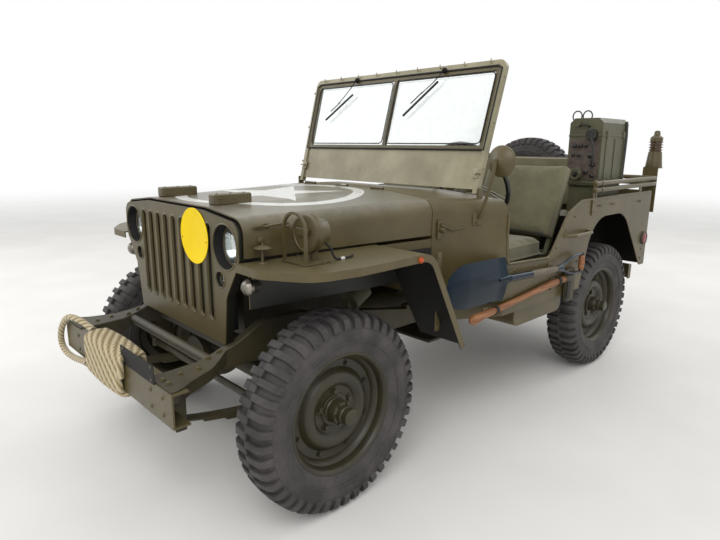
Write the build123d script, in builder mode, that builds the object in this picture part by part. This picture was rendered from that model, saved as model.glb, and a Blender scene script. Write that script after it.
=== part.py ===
from build123d import *
from math import atan2, cos, degrees, hypot, radians, sin
import os

# Army 4x4 car, in millimetres: +X is the car's left, the front faces -Y, the floor is z = 0.

# Driving dimensions
wheelbase = 2032
track = 1245
front_axle_y = -1110
rear_axle_y = front_axle_y + wheelbase
tyre_radius = 365
tyre_section = 160
tread_width = 126
rim_radius = 222
rim_half_width = 62
sheet = 5
running_gap = 6

# Bumper and frame
bumper_y = front_axle_y - 540
bumper_half = 508
bumper_bottom = 430
bumper_height = 116
bumper_depth = 58
plate_steel = 6
rail_outer = 371
rail_width = 40
rail_depth = 84

# Front sheet metal
grille_y = front_axle_y - 262
grille_foot_half = 350
grille_waist_half = 373
grille_waist_z = 772
grille_cheek_z = 905
grille_bottom = 597.5
grille_depth = 34
slot_count = 9
slot_pitch = 67
slot_width = 38
slot_bottom = 672
slot_top = 1022
lamp_x = 377
lamp_z = 950
lamp_radius = 78
marker_x = 338
marker_z = 832
marker_radius = 28

# Hood and cowl
hood_front_y = front_axle_y - 246
hood_front_half = 474
hood_front_crown = 1074
firewall_y = front_axle_y + 600
hood_rear_half = 566
hood_rear_crown = 1094
hood_side_bottom = 922
hinge_leaf = 40
crown_rise = 26
shoulder_radius = 62
grille_half = hood_front_half - sheet - running_gap
grille_top = hood_front_crown - sheet - running_gap
cowl_end_y = front_axle_y + 905

# Tub
body_half = 735
body_bottom = 545
floor_z = 562
body_top = 1017
sill_z = 770
rear_panel_y = rear_axle_y + 568
rail_end_y = rear_panel_y + 2
corner_radius = 72
arch_height = 915
wheel_house_x = body_half - 235
wheel_house_z = 926

# Fenders
fender_half = 787
fender_z = 908
fender_rise = 6
apron_bottom = 745
fender_lip = 28
fender_front_y = front_axle_y - 276
fender_bend_y = front_axle_y + 345
fender_foot_y = front_axle_y + 560
fender_foot_z = 510

# Windscreen, in its own leaning plane
screen_hinge_y = front_axle_y + 836
screen_hinge_z = 1096
screen_ear = 10
screen_lean = 15.6
screen_foot_drop = 14
screen_height = 573
screen_foot_half = 622
screen_top_half = 637
screen_tube = 24
screen_panel_height = 176

# Seats
seat_x = 398
seat_width = 500
seat_front_y = front_axle_y + 1010
seat_back_y = front_axle_y + 1430
seat_z = 745
seat_pad = 78
seat_back_height = 395
seat_back_lean = 24
back_pad = 60

# Steering
kingpin_x = 518
ball_radius = 52
ball_gap = 5
knuckle_wall = 12
steering_x = 370
steering_radius = 219
column_angle = 29.5
tie_rod_y = front_axle_y - 152
tie_rod_z = 352
tie_rod_radius = 14

# Spare wheel
spare_x = -225
spare_z = 985

# Axles, springs and knuckles
axle_radius = 38
diff_x = -170
diff_radius = 108
pinion_length = 190
brake_radius = 122
spindle_radius = 22
spindle_bore = 22.1
kingpin_radius = 10
spindle_reach = 38
arm_z = 376
arm_thickness = 14
arm_pin_x = 512
spring_x = rail_outer - rail_width / 2
leaf_width = 44
leaf_thickness = 8
leaf_count = 5
eye_radius = 18

# Frame heights
rail_front_top = 597
rail_top = 548
rail_front_bottom = rail_front_top - rail_depth
rail_rear_bottom = rail_top - rail_depth

# Things on the bumpers
rope_x = -40
rope_length = 380
rope_wrap = 26
pintle_z = 540
rear_bumper_bottom = 416
rear_bumper_height = 96

# Hood blocks and inner walls
block_x = 212
block_width = 62
block_length = 168
block_height = 38
toe_board_top = 800
toe_board_foot_y = front_axle_y + 850
toe_half = body_half - 45
dash_bottom = 880

# Wheel houses and fuel tank
house_front_y = rear_axle_y - 410
house_rear_y = rear_axle_y + 470
tank_inner_x = body_half - 343
tank_outer_x = body_half - 29
tank_front_y = front_axle_y + 1052
tank_rear_y = front_axle_y + 1505
tank_bottom = 450
tank_top = 705

# Rear seat
rear_seat_half = 470
rear_seat_front_y = rear_axle_y - 40
rear_seat_depth = 400
rear_seat_z = 790
rear_pad = 76
rear_back_low = 890
rear_back_height = 330
seat_tube = 22
seat_foot_y = seat_front_y + 12
seat_pivot_y = seat_foot_y + seat_tube / 2
seat_pivot_z = floor_z + sheet + 17
rear_back_y = rear_seat_front_y + rear_seat_depth + 8
rear_pivot_y = rear_back_y + 8
rear_pivot_z = rear_back_low - 8
pin_radius = 6

# Power train
radiator_half = 235
radiator_top = 1010
engine_half = 150
engine_bottom = 500
engine_top = 960
engine_length = 640
gearbox_z = 460
transfer_y = firewall_y + 420
transfer_z = 430
transfer_height = 190
skid_z = transfer_z - transfer_height / 2 - 12.3
muffler_x = -478
muffler_y = front_axle_y + 1180
muffler_length = 420
muffler_z = 445
pipe_radius = 22
pipe_cross_y = front_axle_y + 512
manifold_x = -222

# Steering wheel and column
steering_wheel_y = front_axle_y + 1130
steering_wheel_z = 1115
column_length = 900
column_radius = 24

# Blackout lamp
blackout_x = fender_half - 187
blackout_y = front_axle_y - 90
blackout_z = 1005
guard_x = blackout_x - 8
guard_half = 62

# Tools, handles and bows
tool_x = body_half + 12
axe_x = body_half + 4
shaft_x = body_half + 34
handle_z = 850
handle_front_y = front_axle_y + 1430
handle_rear_y = front_axle_y + 1650
bow_half = body_half + 22
bow_radius = 13
bow_z = 1098
bow_pivot_y = front_axle_y + 1712
bow_rear_y = rear_panel_y - 12
bow_bracket_bottom = 930

# Radio, antenna and mirror
radio_width = 186
radio_length = 330
radio_height = 360
radio_bottom = 1078
radio_x = body_half - 135
radio_y = front_axle_y + 2015
antenna_x = body_half - 45
antenna_y = rear_panel_y + 40
antenna_z = 1160
mirror_x = body_half + 5
mirror_y = front_axle_y + 819
mirror_z = 1232
mirror_foot_y = front_axle_y + 776
mirror_foot_z = 985

os.makedirs("parts", exist_ok=True)


def save(piece, label):
    # Name a finished piece and write it.
    piece.part.label = label
    export_step(piece.part, f"parts/{label}.step")


def side_plane(x):
    # A plane that looks along X: its own axes are the car's Y and Z.
    return Plane.YZ.offset(x)


def front_plane(y):
    # A plane that faces forward: its own axes are the car's X and Z.
    return Plane.XZ.offset(-y)


def offset_points(points, distance):
    # Shift an open run of points sideways by a wall, with mitred corners.
    shifted = []
    for index, (a, b) in enumerate(points):
        before = points[max(index - 1, 0)]
        after = points[min(index + 1, len(points) - 1)]
        first = (a - before[0], b - before[1])
        second = (after[0] - a, after[1] - b)
        if index == 0:
            first = second
        if index == len(points) - 1:
            second = first
        n1 = (first[1] / hypot(*first), -first[0] / hypot(*first))
        n2 = (second[1] / hypot(*second), -second[0] / hypot(*second))
        bisector = (n1[0] + n2[0], n1[1] + n2[1])
        scale = 2 * distance / (bisector[0] ** 2 + bisector[1] ** 2)
        shifted.append((a + bisector[0] * scale, b + bisector[1] * scale))
    return shifted


def wheel_plane(x, y, z, outward):
    # A half section through a wheel: distance outward from its middle, then radius.
    return Plane((x, y, z), x_dir=outward, z_dir=Vector(outward).cross(Vector(0, 0, 1)))


def band(points, wall):
    # A closed run of sheet: out along the points and back along the same points, one wall away.
    return points + offset_points(points, wall)[::-1]


def tyre(centre, outward):
    # The carcass out to the tips of the lugs, with its bead on the rim.
    half = tyre_section / 2
    bead = rim_half_width - 10
    bead_radius = rim_radius - 17.8
    side_low = rim_radius + 40
    side_high = rim_radius + 84
    shoulder = tread_width / 2
    profile = [
        (-bead, bead_radius), (-half, side_low), (-half, side_high), (-shoulder, tyre_radius),
        (shoulder, tyre_radius), (half, side_high), (half, side_low), (bead, bead_radius),
    ]
    with BuildPart() as carcass:
        with BuildSketch(wheel_plane(*centre, outward)):
            with BuildLine():
                Polyline(*profile, close=True)
            make_face()
        revolve(axis=Axis(centre, outward))
    return carcass


def wheel(centre, outward, has_hub):
    # Rim, dished disc and, on a running wheel, the hub, its drive flange and the brake drum.
    seat = rim_radius - 18
    well = seat - 14
    rim_path = [
        (-rim_half_width, rim_radius), (-54, seat), (-26, seat), (-18, well),
        (18, well), (26, seat), (54, seat), (rim_half_width, rim_radius),
    ]
    disc_path = [(2, well - 5), (2, 152), (30, 138), (34, 118), (14, 88), (10, 46)]
    hub = [
        (-28, spindle_bore), (-28, 60), (12, 60), (14, 50), (56, 50), (58, 44), (78, 44), (80, 27),
        (106, 25), (108, 0), (44, 0), (44, spindle_bore),
    ]
    drum = [(-24, 118), (4, 118), (4, 50), (-4, 50), (-4, 110), (-24, 110)]
    outlines = [band(rim_path, sheet + 1), band(disc_path, 7)]
    if has_hub:
        outlines += [hub, drum]
    with BuildPart() as disc:
        for outline in outlines:
            with BuildSketch(wheel_plane(*centre, outward)):
                with BuildLine():
                    Polyline(*outline, close=True)
                make_face()
            revolve(axis=Axis(centre, outward))
    return disc


wheel_x = track / 2
corners = [
    # name, side of the car, axle
    ("front_left", 1, front_axle_y),
    ("front_right", -1, front_axle_y),
    ("rear_left", 1, rear_axle_y),
    ("rear_right", -1, rear_axle_y),
]
for corner, side, axle_y in corners:
    centre = (side * wheel_x, axle_y, tyre_radius)
    save(tyre(centre, (side, 0, 0)), f"tyre_{corner}")
    save(wheel(centre, (side, 0, 0), True), f"wheel_{corner}")

spare_y = rear_panel_y + 118
save(tyre((spare_x, spare_y, spare_z), (0, 1, 0)), "spare_tyre")

# Spare wheel with its carrier: a plate on the rear panel, a post and the nut plate
with BuildPart() as spare_wheel:
    add(wheel((spare_x, spare_y, spare_z), (0, 1, 0), False).part)
    with BuildSketch(front_plane(rear_panel_y)):
        with Locations((spare_x, spare_z - 70)):
            RectangleRounded(220, 190, 30)
    extrude(amount=-8)
    with BuildSketch(front_plane(rear_panel_y)):
        with Locations((spare_x, spare_z)):
            Circle(40)
    extrude(amount=rear_panel_y - spare_y - 12)
    with BuildSketch(front_plane(spare_y + 6)):
        with Locations((spare_x, spare_z)):
            Circle(72)
    extrude(amount=-9)
save(spare_wheel, "spare_wheel")


# Axles: a tube each, with the final drive to the right of the middle; the front one ends in balls
def axle_housing(y, half_length, pinion_side):
    with BuildPart() as housing:
        with BuildSketch(side_plane(-half_length)):
            with Locations((y, tyre_radius)):
                Circle(axle_radius)
        extrude(amount=2 * half_length)
        with BuildSketch(wheel_plane(diff_x, y, tyre_radius, (1, 0, 0))):
            with BuildLine():
                FilletPolyline(
                    (-105, 0), (-105, 44), (-62, diff_radius), (48, diff_radius), (92, 44), (92, 0),
                    radius=[8, 40, 40, 8],
                )
                Line((-105, 0), (92, 0))
            make_face()
        revolve(axis=Axis((diff_x, y, tyre_radius), (1, 0, 0)))
        with BuildSketch(front_plane(y)):
            with Locations((diff_x, tyre_radius)):
                Circle(46)
        extrude(amount=-pinion_side * pinion_length)
        with BuildSketch(front_plane(y - pinion_side * (diff_radius - 22))):
            with Locations((diff_x, tyre_radius)):
                Circle(diff_radius - 16)
        extrude(amount=pinion_side * 34)
    return housing


front_axle = axle_housing(front_axle_y, kingpin_x, 1)
with BuildPart() as axles:
    add(front_axle.part)
    with Locations((kingpin_x, front_axle_y, tyre_radius), (-kingpin_x, front_axle_y, tyre_radius)):
        Sphere(ball_radius)
    for kingpin_z in (tyre_radius + ball_radius - 6, tyre_radius - ball_radius + 6):
        with Locations((kingpin_x, front_axle_y, kingpin_z), (-kingpin_x, front_axle_y, kingpin_z)):
            Cylinder(kingpin_radius + 0.1, 20, mode=Mode.SUBTRACT)
    rear_flange_x = wheel_x - 34
    add(axle_housing(rear_axle_y, rear_flange_x, -1).part)
    for side in (-1, 1):
        with BuildSketch(side_plane(side * (rear_flange_x - 6))):
            with Locations((rear_axle_y, tyre_radius)):
                Circle(brake_radius)
        extrude(amount=side * 6)
        with BuildSketch(side_plane(side * rear_flange_x)):
            with Locations((rear_axle_y, tyre_radius)):
                Circle(spindle_radius)
        extrude(amount=side * (wheel_x + spindle_reach - rear_flange_x))
save(axles, "axles")


# Steering knuckle: a cup round the ball, the brake's backing plate, the spindle and the forward arm
def steering_knuckle():
    side = 1
    cup = ball_radius + ball_gap
    flange_x = wheel_x - 34
    with BuildPart() as knuckle:
        with Locations((side * kingpin_x, front_axle_y, tyre_radius)):
            Sphere(cup + knuckle_wall)
        with BuildSketch(side_plane(side * (flange_x - 14))):
            with Locations((front_axle_y, tyre_radius)):
                Circle(cup)
        extrude(amount=side * 14)
        with Locations((side * kingpin_x, front_axle_y, tyre_radius)):
            Sphere(cup, mode=Mode.SUBTRACT)
        with BuildSketch(side_plane(side * (kingpin_x - 8))):
            with Locations((front_axle_y, tyre_radius)):
                Rectangle(400, 400)
        extrude(amount=-side * 200, mode=Mode.SUBTRACT)
        for kingpin_z in (tyre_radius + cup - 1, tyre_radius - cup + 1):
            with Locations((side * kingpin_x, front_axle_y, kingpin_z)):
                Cylinder(kingpin_radius, 20)
        with BuildSketch(side_plane(side * (flange_x - 6))):
            with Locations((front_axle_y, tyre_radius)):
                Circle(brake_radius)
        extrude(amount=side * 6)
        with BuildSketch(side_plane(side * flange_x)):
            with Locations((front_axle_y, tyre_radius)):
                Circle(spindle_radius)
        extrude(amount=side * (wheel_x + spindle_reach - flange_x))
        with BuildSketch(Plane.XY.offset(arm_z)):
            with BuildLine():
                Polyline(
                    (side * (kingpin_x - 8), front_axle_y - 52), (side * (kingpin_x + 34), front_axle_y - 52),
                    (side * (arm_pin_x + 20), tie_rod_y - 20), (side * (arm_pin_x - 20), tie_rod_y - 20),
                    close=True,
                )
            make_face()
        extrude(amount=arm_thickness)
    return knuckle


knuckle_left = steering_knuckle()
save(knuckle_left, "knuckle_left")
with BuildPart() as knuckle_right:
    mirror(knuckle_left.part, about=Plane.YZ)
save(knuckle_right, "knuckle_right")

# Tie rod: a tube below the knuckle arms, with an eye at each end
with BuildPart() as tie_rod:
    with BuildSketch(side_plane(-arm_pin_x)):
        with Locations((tie_rod_y, tie_rod_z)):
            Circle(tie_rod_radius)
    extrude(amount=2 * arm_pin_x)
    eye_bottom = tie_rod_z - 18
    eye_height = arm_z - 0.5 - eye_bottom
    for side in (-1, 1):
        with Locations((side * arm_pin_x, tie_rod_y, eye_bottom + eye_height / 2)):
            Cylinder(20, eye_height)
save(tie_rod, "tie_rod")

# Leaf springs: four packs under the axles, each with eyes, clamped by a plate and two straps
leaf_half = 456
leaf_sag = 58
leaf_stack_top = tyre_radius - axle_radius - 1
with BuildPart() as leaf_springs:
    for axle_y in (front_axle_y, rear_axle_y):
        for side in (-1, 1):
            inner_x = side * spring_x - leaf_width / 2
            for index in range(leaf_count):
                half = leaf_half * (1 - 0.19 * index)
                top = leaf_stack_top - index * leaf_thickness
                rise = leaf_sag * (half / leaf_half) ** 2
                with BuildSketch(side_plane(inner_x)):
                    with BuildLine():
                        ThreePointArc((axle_y - half, top + rise), (axle_y, top), (axle_y + half, top + rise))
                        Line((axle_y + half, top + rise), (axle_y + half, top + rise - leaf_thickness))
                        ThreePointArc(
                            (axle_y + half, top + rise - leaf_thickness), (axle_y, top - leaf_thickness),
                            (axle_y - half, top + rise - leaf_thickness),
                        )
                        Line((axle_y - half, top + rise - leaf_thickness), (axle_y - half, top + rise))
                    make_face()
                extrude(amount=leaf_width)
            for end in (-1, 1):
                with BuildSketch(side_plane(inner_x)):
                    with Locations((axle_y + end * leaf_half, leaf_stack_top + leaf_sag - leaf_thickness / 2)):
                        Circle(eye_radius)
                extrude(amount=leaf_width)
            pack_bottom = leaf_stack_top - leaf_count * leaf_thickness
            with Locations((side * spring_x, axle_y, pack_bottom - 6)):
                Box(leaf_width + 24, 110, 12)
save(leaf_springs, "leaf_springs")

eye_z = leaf_stack_top + leaf_sag - leaf_thickness / 2

# Frame: two rails with front horns, cross members, bumper gussets and pads under the tub
with BuildPart() as frame:
    for side in (-1, 1):
        with BuildSketch(side_plane(side * (rail_outer - rail_width / 2) - rail_width / 2)):
            with BuildLine():
                Polyline(
                    (bumper_y + bumper_depth + 1, bumper_bottom + 10),
                    (bumper_y + bumper_depth + 1, bumper_bottom + bumper_height),
                    (bumper_y + 2, bumper_bottom + bumper_height), (bumper_y + 2, rail_front_top),
                    (front_axle_y + 390, rail_front_top), (firewall_y + 60, rail_top),
                    (rail_end_y, rail_top), (rail_end_y, rail_rear_bottom), (firewall_y, rail_rear_bottom),
                    (front_axle_y + 230, rail_front_bottom), (front_axle_y - 330, rail_front_bottom),
                    close=True,
                )
            make_face()
        extrude(amount=rail_width)
        for y in (firewall_y + 110, rear_axle_y - 480, rail_end_y - 90):
            with Locations((side * (rail_outer - rail_width / 2), y, (rail_top + floor_z) / 2)):
                Box(rail_width, 70, floor_z - rail_top)
        with BuildSketch(Plane.XY.offset(bumper_bottom + bumper_height)):
            with BuildLine():
                Polyline(
                    (side * rail_outer, bumper_y + 2), (side * (rail_outer + 92), bumper_y + 2),
                    (side * (rail_outer + 92), bumper_y + 46), (side * rail_outer, bumper_y + 190), close=True,
                )
            make_face()
        extrude(amount=plate_steel)
    for axle_y, top in ((front_axle_y, rail_front_bottom), (rear_axle_y, rail_rear_bottom)):
        for end in (-1, 1):
            hanger_y = axle_y + end * leaf_half
            for side in (-1, 1):
                for cheek in (-1, 1):
                    cheek_x = side * spring_x + cheek * (leaf_width / 2 + 3.3)
                    with BuildSketch(side_plane(cheek_x - 3)):
                        with BuildLine():
                            Polyline(
                                (hanger_y - 20, eye_z - 22), (hanger_y + 20, eye_z - 22),
                                (hanger_y + 22, top + 8), (hanger_y - 22, top + 8), close=True,
                            )
                        make_face()
                    extrude(amount=6)
                with Locations((side * spring_x, hanger_y, top + 4)):
                    Box(leaf_width + 14, 44, 8)
    cross_width = 2 * (rail_outer - rail_width)
    cross_members = [
        # station, centre height, length along the car, depth
        (front_axle_y - 300, 555, 60, 60),
        (front_axle_y - 170, 570, 60, 54),
        (transfer_y, skid_z, 260, 24),
        (rear_axle_y - 430, rail_top - 42, 60, 70),
        (rail_end_y - 30, rail_top - 42, 60, 84),
    ]
    for y, z, length, depth in cross_members:
        with Locations((0, y, z)):
            Box(cross_width, length, depth)
    for side in (-1, 1):
        with Locations((side * (cross_width / 2 - 9), transfer_y, (skid_z + rail_top) / 2)):
            Box(18, 120, rail_top - skid_z)
        with Locations((side * (cross_width / 2 + engine_half + 0.3) / 2, front_axle_y + 200, engine_bottom + 40)):
            Box(cross_width / 2 - engine_half - 0.3, 60, 36)
save(frame, "frame")

# Front bumper: a pressed channel, open to the rear
with BuildPart() as front_bumper:
    with BuildSketch(side_plane(-bumper_half)):
        with BuildLine():
            Polyline(
                *band(
                    [
                        (bumper_y + bumper_depth, bumper_bottom), (bumper_y, bumper_bottom),
                        (bumper_y, bumper_bottom + bumper_height), (bumper_y + bumper_depth, bumper_bottom + bumper_height),
                    ],
                    plate_steel,
                ),
                close=True,
            )
        make_face()
    extrude(amount=2 * bumper_half)
save(front_bumper, "front_bumper")

# Rope: the outer shape of the turns wound round the bumper
with BuildPart() as rope:
    with BuildSketch(side_plane(rope_x - rope_length / 2)):
        with Locations((bumper_y + bumper_depth / 2, bumper_bottom + bumper_height / 2)):
            RectangleRounded(bumper_depth + 2 * rope_wrap, bumper_height + 2 * rope_wrap, rope_wrap - 1)
            Rectangle(bumper_depth + 1, bumper_height + 1, mode=Mode.SUBTRACT)
    extrude(amount=rope_length)
save(rope, "rope")

# Rear bumperettes and the towing pintle
with BuildPart() as rear_bumpers:
    for side in (-1, 1):
        with BuildSketch(Plane.XY.offset(rear_bumper_bottom)):
            with BuildLine():
                Polyline(
                    *band(
                        [
                            (side * 330, rail_end_y + 8), (side * 330, rail_end_y + 88),
                            (side * 610, rail_end_y + 66), (side * 610, rail_end_y + 30),
                        ],
                        side * -plate_steel,
                    ),
                    close=True,
                )
            make_face()
        extrude(amount=rear_bumper_height)
        with Locations((side * 350, rail_end_y + 4, rail_rear_bottom + 42)):
            Box(120, 8, 84)
    with BuildSketch(front_plane(rail_end_y)):
        with Locations((0, pintle_z)):
            RectangleRounded(130, 84, 14)
    extrude(amount=-14)
    with BuildSketch(front_plane(rail_end_y + 14)):
        with Locations((0, pintle_z)):
            Circle(26)
    extrude(amount=-52)
    with BuildSketch(side_plane(-17)):
        with Locations((rail_end_y + 96, pintle_z)):
            Circle(42)
            Circle(22, mode=Mode.SUBTRACT)
    extrude(amount=34)
save(rear_bumpers, "rear_bumpers")

# Grille: a pressed face with nine slots, lamp openings and a flange all round
grille_half_outline = [
    (grille_foot_half, grille_bottom), (grille_waist_half, grille_waist_z), (grille_half, grille_cheek_z),
    (grille_half, grille_top - crown_rise), (0.5 * grille_half, grille_top),
]
grille_radii = [8, 60, 60, shoulder_radius - 11, 3 * shoulder_radius]
grille_outline = grille_half_outline + [(-x, z) for x, z in grille_half_outline[::-1]]
with BuildPart() as grille:
    with BuildSketch(front_plane(grille_y)):
        with BuildLine():
            FilletPolyline(*grille_outline, radius=grille_radii + grille_radii[::-1], close=True)
        make_face()
    extrude(amount=-grille_depth)
    with BuildSketch(front_plane(grille_y + sheet)):
        with BuildLine():
            FilletPolyline(*grille_outline, radius=grille_radii + grille_radii[::-1], close=True)
        make_face()
        offset(amount=-sheet, mode=Mode.REPLACE)
    extrude(amount=-grille_depth, mode=Mode.SUBTRACT)
    with BuildSketch(front_plane(grille_y)):
        with Locations((0, (slot_bottom + slot_top) / 2)):
            with GridLocations(slot_pitch, 1, slot_count, 1):
                SlotOverall(slot_top - slot_bottom, slot_width, rotation=90)
        with Locations((-lamp_x, lamp_z), (lamp_x, lamp_z)):
            Circle(lamp_radius)
        with Locations((-marker_x, marker_z), (marker_x, marker_z)):
            Circle(marker_radius)
    extrude(amount=-sheet - 1, mode=Mode.SUBTRACT)
save(grille, "grille")

# Headlamps: a bowl behind each opening, its glass, and a small marker lamp below
lamp_plane_y = grille_y + sheet
with BuildPart() as headlamps:
    for side in (-1, 1):
        for x, z, radius, depth in (
            (lamp_x, lamp_z, lamp_radius + 2, 78),
            (marker_x, marker_z, marker_radius + 2, 40),
        ):
            with BuildSketch(wheel_plane(side * x, lamp_plane_y, z, (0, 1, 0))):
                with BuildLine():
                    Polyline(
                        (0, radius - 8), (0, radius), (10, radius), (0.6 * depth, 0.75 * radius), (depth, 0.3 * radius),
                        (depth, 0), (depth - 5, 0), (depth - 7, 0.26 * radius), (0.57 * depth, 0.68 * radius),
                        (10, radius - 8), close=True,
                    )
                make_face()
            revolve(axis=Axis((side * x, lamp_plane_y, z), (0, 1, 0)))
save(headlamps, "headlamps")

with BuildPart() as lamp_glasses:
    for side in (-1, 1):
        for x, z, radius, bulge in ((lamp_x, lamp_z, lamp_radius - 7, 8), (marker_x, marker_z, marker_radius - 7, 3)):
            with BuildSketch(wheel_plane(side * x, lamp_plane_y, z, (0, 1, 0))):
                with BuildLine():
                    Polyline((0.5, radius), (5, radius), (5 - bulge, 0), (0.5 - bulge, 0), close=True)
                make_face()
            revolve(axis=Axis((side * x, lamp_plane_y, z), (0, 1, 0)))
save(lamp_glasses, "lamp_glasses")


# Hood and cowl: sections with upright sides, round shoulders and a crowned top
def hood_section(half, bottom, crown, radius):
    # The outline of one section, from the left foot over the crown to the right foot.
    edge = crown - crown_rise
    return [(half, bottom), (half, edge), (0.5 * half, crown), (-0.5 * half, crown), (-half, edge), (-half, bottom)], [
        radius, 4 * radius, 4 * radius, radius,
    ]


def hood_loft(stations, inset):
    # Columns of stations: Y, half width, bottom, crown, shoulder radius.
    with BuildPart() as form:
        for y, half, bottom, crown, radius in stations:
            points, radii = hood_section(half - inset, bottom, crown - inset, radius - inset)
            with BuildSketch(front_plane(y)):
                with BuildLine():
                    FilletPolyline(*points, radius=radii)
                    Line(points[-1], points[0])
                make_face()
        loft()
    return form


hood_rear_y = firewall_y - 4
hood_slope = (hood_rear_crown - hood_front_crown) / (hood_rear_y - hood_front_y)
hood_flare = (hood_rear_half - hood_front_half) / (hood_rear_y - hood_front_y)


def hood_station(y, bottom):
    along = y - hood_front_y
    return (y, hood_front_half + hood_flare * along, bottom, hood_front_crown + hood_slope * along, shoulder_radius)


hood_outer = hood_loft([hood_station(hood_front_y, hood_side_bottom), hood_station(hood_rear_y, hood_side_bottom)], 0)
hood_inner = hood_loft(
    [hood_station(hood_front_y - 20, hood_side_bottom - 20), hood_station(hood_rear_y + 20, hood_side_bottom - 20)],
    sheet,
)
hood_axis_y = firewall_y - 2
hood_axis_z = hood_rear_crown + pin_radius


def hood_hinge(x, end_y):
    # One leaf of the hood's hinge: a barrel segment and a strap along the surface.
    with BuildPart() as leaf:
        with BuildSketch(side_plane(x)):
            with Locations((hood_axis_y, hood_axis_z)):
                Circle(pin_radius)
        extrude(amount=hinge_leaf)
        with Locations((x + hinge_leaf / 2, (hood_axis_y + end_y) / 2, hood_rear_crown - 1)):
            Box(hinge_leaf, abs(end_y - hood_axis_y), 4)
    return leaf


with BuildPart() as hood:
    add(hood_outer.part)
    add(hood_inner.part, mode=Mode.SUBTRACT)
    for x in (-240, 0, 240):
        add(hood_hinge(x + 0.3, hood_axis_y - 40).part)
save(hood, "hood")

# Wooden blocks on the hood that meet the windscreen when the hood is open
block_y = front_axle_y - 134
block_z = hood_front_crown + hood_slope * (block_y - hood_front_y)
with BuildPart() as hood_blocks:
    for side in (-1, 1):
        with Locations((side * block_x, block_y, block_z + block_height / 2 - 0.5)):
            Box(block_width, block_length, block_height)
    chamfer(hood_blocks.edges().filter_by(Axis.Y).group_by(Axis.Z)[-1], 6)
    add(hood_loft([hood_station(hood_front_y, hood_side_bottom), hood_station(hood_rear_y, hood_side_bottom)], -0.3).part, mode=Mode.SUBTRACT)
save(hood_blocks, "hood_blocks")

# Cowl: the shell between the firewall and the door openings
cowl_rear_crown = hood_rear_crown - 8
cowl_flare = (body_half - hood_rear_half) / (cowl_end_y - firewall_y)


def cowl_station(y, bottom):
    along = y - firewall_y
    crown = hood_rear_crown + (cowl_rear_crown - hood_rear_crown) * along / (cowl_end_y - firewall_y)
    return (y, hood_rear_half + cowl_flare * along, bottom, crown, shoulder_radius)


cowl_outer = hood_loft([cowl_station(firewall_y, body_bottom), cowl_station(cowl_end_y, body_bottom)], 0)
cowl_inner = hood_loft(
    [cowl_station(firewall_y - 20, body_bottom - 20), cowl_station(cowl_end_y + 20, body_bottom - 20)], sheet
)


def cowl_slab(y, thickness, bottom):
    # A cross wall that fills the cowl's inside above a height.
    with BuildPart() as slab:
        with BuildSketch(front_plane(y)):
            with Locations((0, bottom + 400)):
                Rectangle(2 * body_half + 20, 800)
        extrude(amount=-thickness)
        add(cowl_inner.part, mode=Mode.INTERSECT)
    return slab


column = radians(column_angle)
column_axis = Vector(0, cos(column), sin(column))
wheel_centre = Vector(steering_x, steering_wheel_y, steering_wheel_z)

with BuildPart() as cowl:
    add(cowl_outer.part)
    add(cowl_inner.part, mode=Mode.SUBTRACT)
    for x in (-240, 0, 240):
        add(hood_hinge(x - hinge_leaf, hood_axis_y + 44).part)
    for side in (-1, 1):
        with BuildSketch(side_plane(side * (screen_foot_half + 2))):
            with Locations((screen_hinge_y, screen_hinge_z - 10)):
                Rectangle(32, 44)
        extrude(amount=side * screen_ear)
        with BuildSketch(side_plane(side * (screen_foot_half + 3))):
            with Locations((screen_hinge_y, screen_hinge_z)):
                Circle(pin_radius)
        extrude(amount=-side * (screen_tube - 2))
    add(cowl_slab(firewall_y, sheet, toe_board_top - 60).part)
    add(cowl_slab(cowl_end_y - 22, sheet, dash_bottom).part)
    with BuildPart(mode=Mode.PRIVATE) as toe_board:
        with BuildSketch(side_plane(-body_half)):
            with BuildLine():
                Polyline(
                    *band([(firewall_y + sheet, toe_board_top), (toe_board_foot_y, floor_z + sheet)], sheet),
                    close=True,
                )
            make_face()
        extrude(amount=2 * body_half)
        add(cowl_inner.part, mode=Mode.INTERSECT)
    add(toe_board.part)
    with BuildSketch(Plane(wheel_centre - column_axis * column_length, z_dir=column_axis)):
        Circle(column_radius + running_gap)
    extrude(amount=column_length, mode=Mode.SUBTRACT)
save(cowl, "cowl")

# Tub floor, with a well for the fuel tank and gaps at the wheel houses
with BuildPart() as tub_floor:
    with BuildSketch(Plane.XY.offset(floor_z)):
        with BuildLine():
            Polyline(
                (body_half - sheet, cowl_end_y), (body_half - sheet, rear_panel_y - corner_radius),
                (body_half - corner_radius, rear_panel_y - sheet), (corner_radius - body_half, rear_panel_y - sheet),
                (sheet - body_half, rear_panel_y - corner_radius), (sheet - body_half, cowl_end_y),
                (-toe_half, toe_board_foot_y), (toe_half, toe_board_foot_y), close=True,
            )
        make_face()
        for side in (-1, 1):
            with Locations((side * (wheel_house_x + body_half) / 2, (house_front_y + house_rear_y) / 2)):
                Rectangle(body_half - wheel_house_x, house_rear_y - house_front_y, mode=Mode.SUBTRACT)
        with Locations(((tank_inner_x + tank_outer_x) / 2, (tank_front_y + tank_rear_y) / 2)):
            Rectangle(
                tank_outer_x - tank_inner_x + 0.6, tank_rear_y - tank_front_y + 0.6, mode=Mode.SUBTRACT
            )
    extrude(amount=sheet)
    for rail_side in (-1, 1):
        lug_x = rail_side * (seat_width / 2 - 30) - seat_x
        for cheek in (-1, 1):
            with Locations((lug_x + cheek * (seat_tube / 2 + 4), seat_pivot_y, floor_z + sheet + 14)):
                Box(4, 30, 28)
        with BuildSketch(side_plane(lug_x - seat_tube / 2 - 4)):
            with Locations((seat_pivot_y, seat_pivot_z)):
                Circle(pin_radius)
        extrude(amount=seat_tube + 8)
save(tub_floor, "tub_floor")

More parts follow.
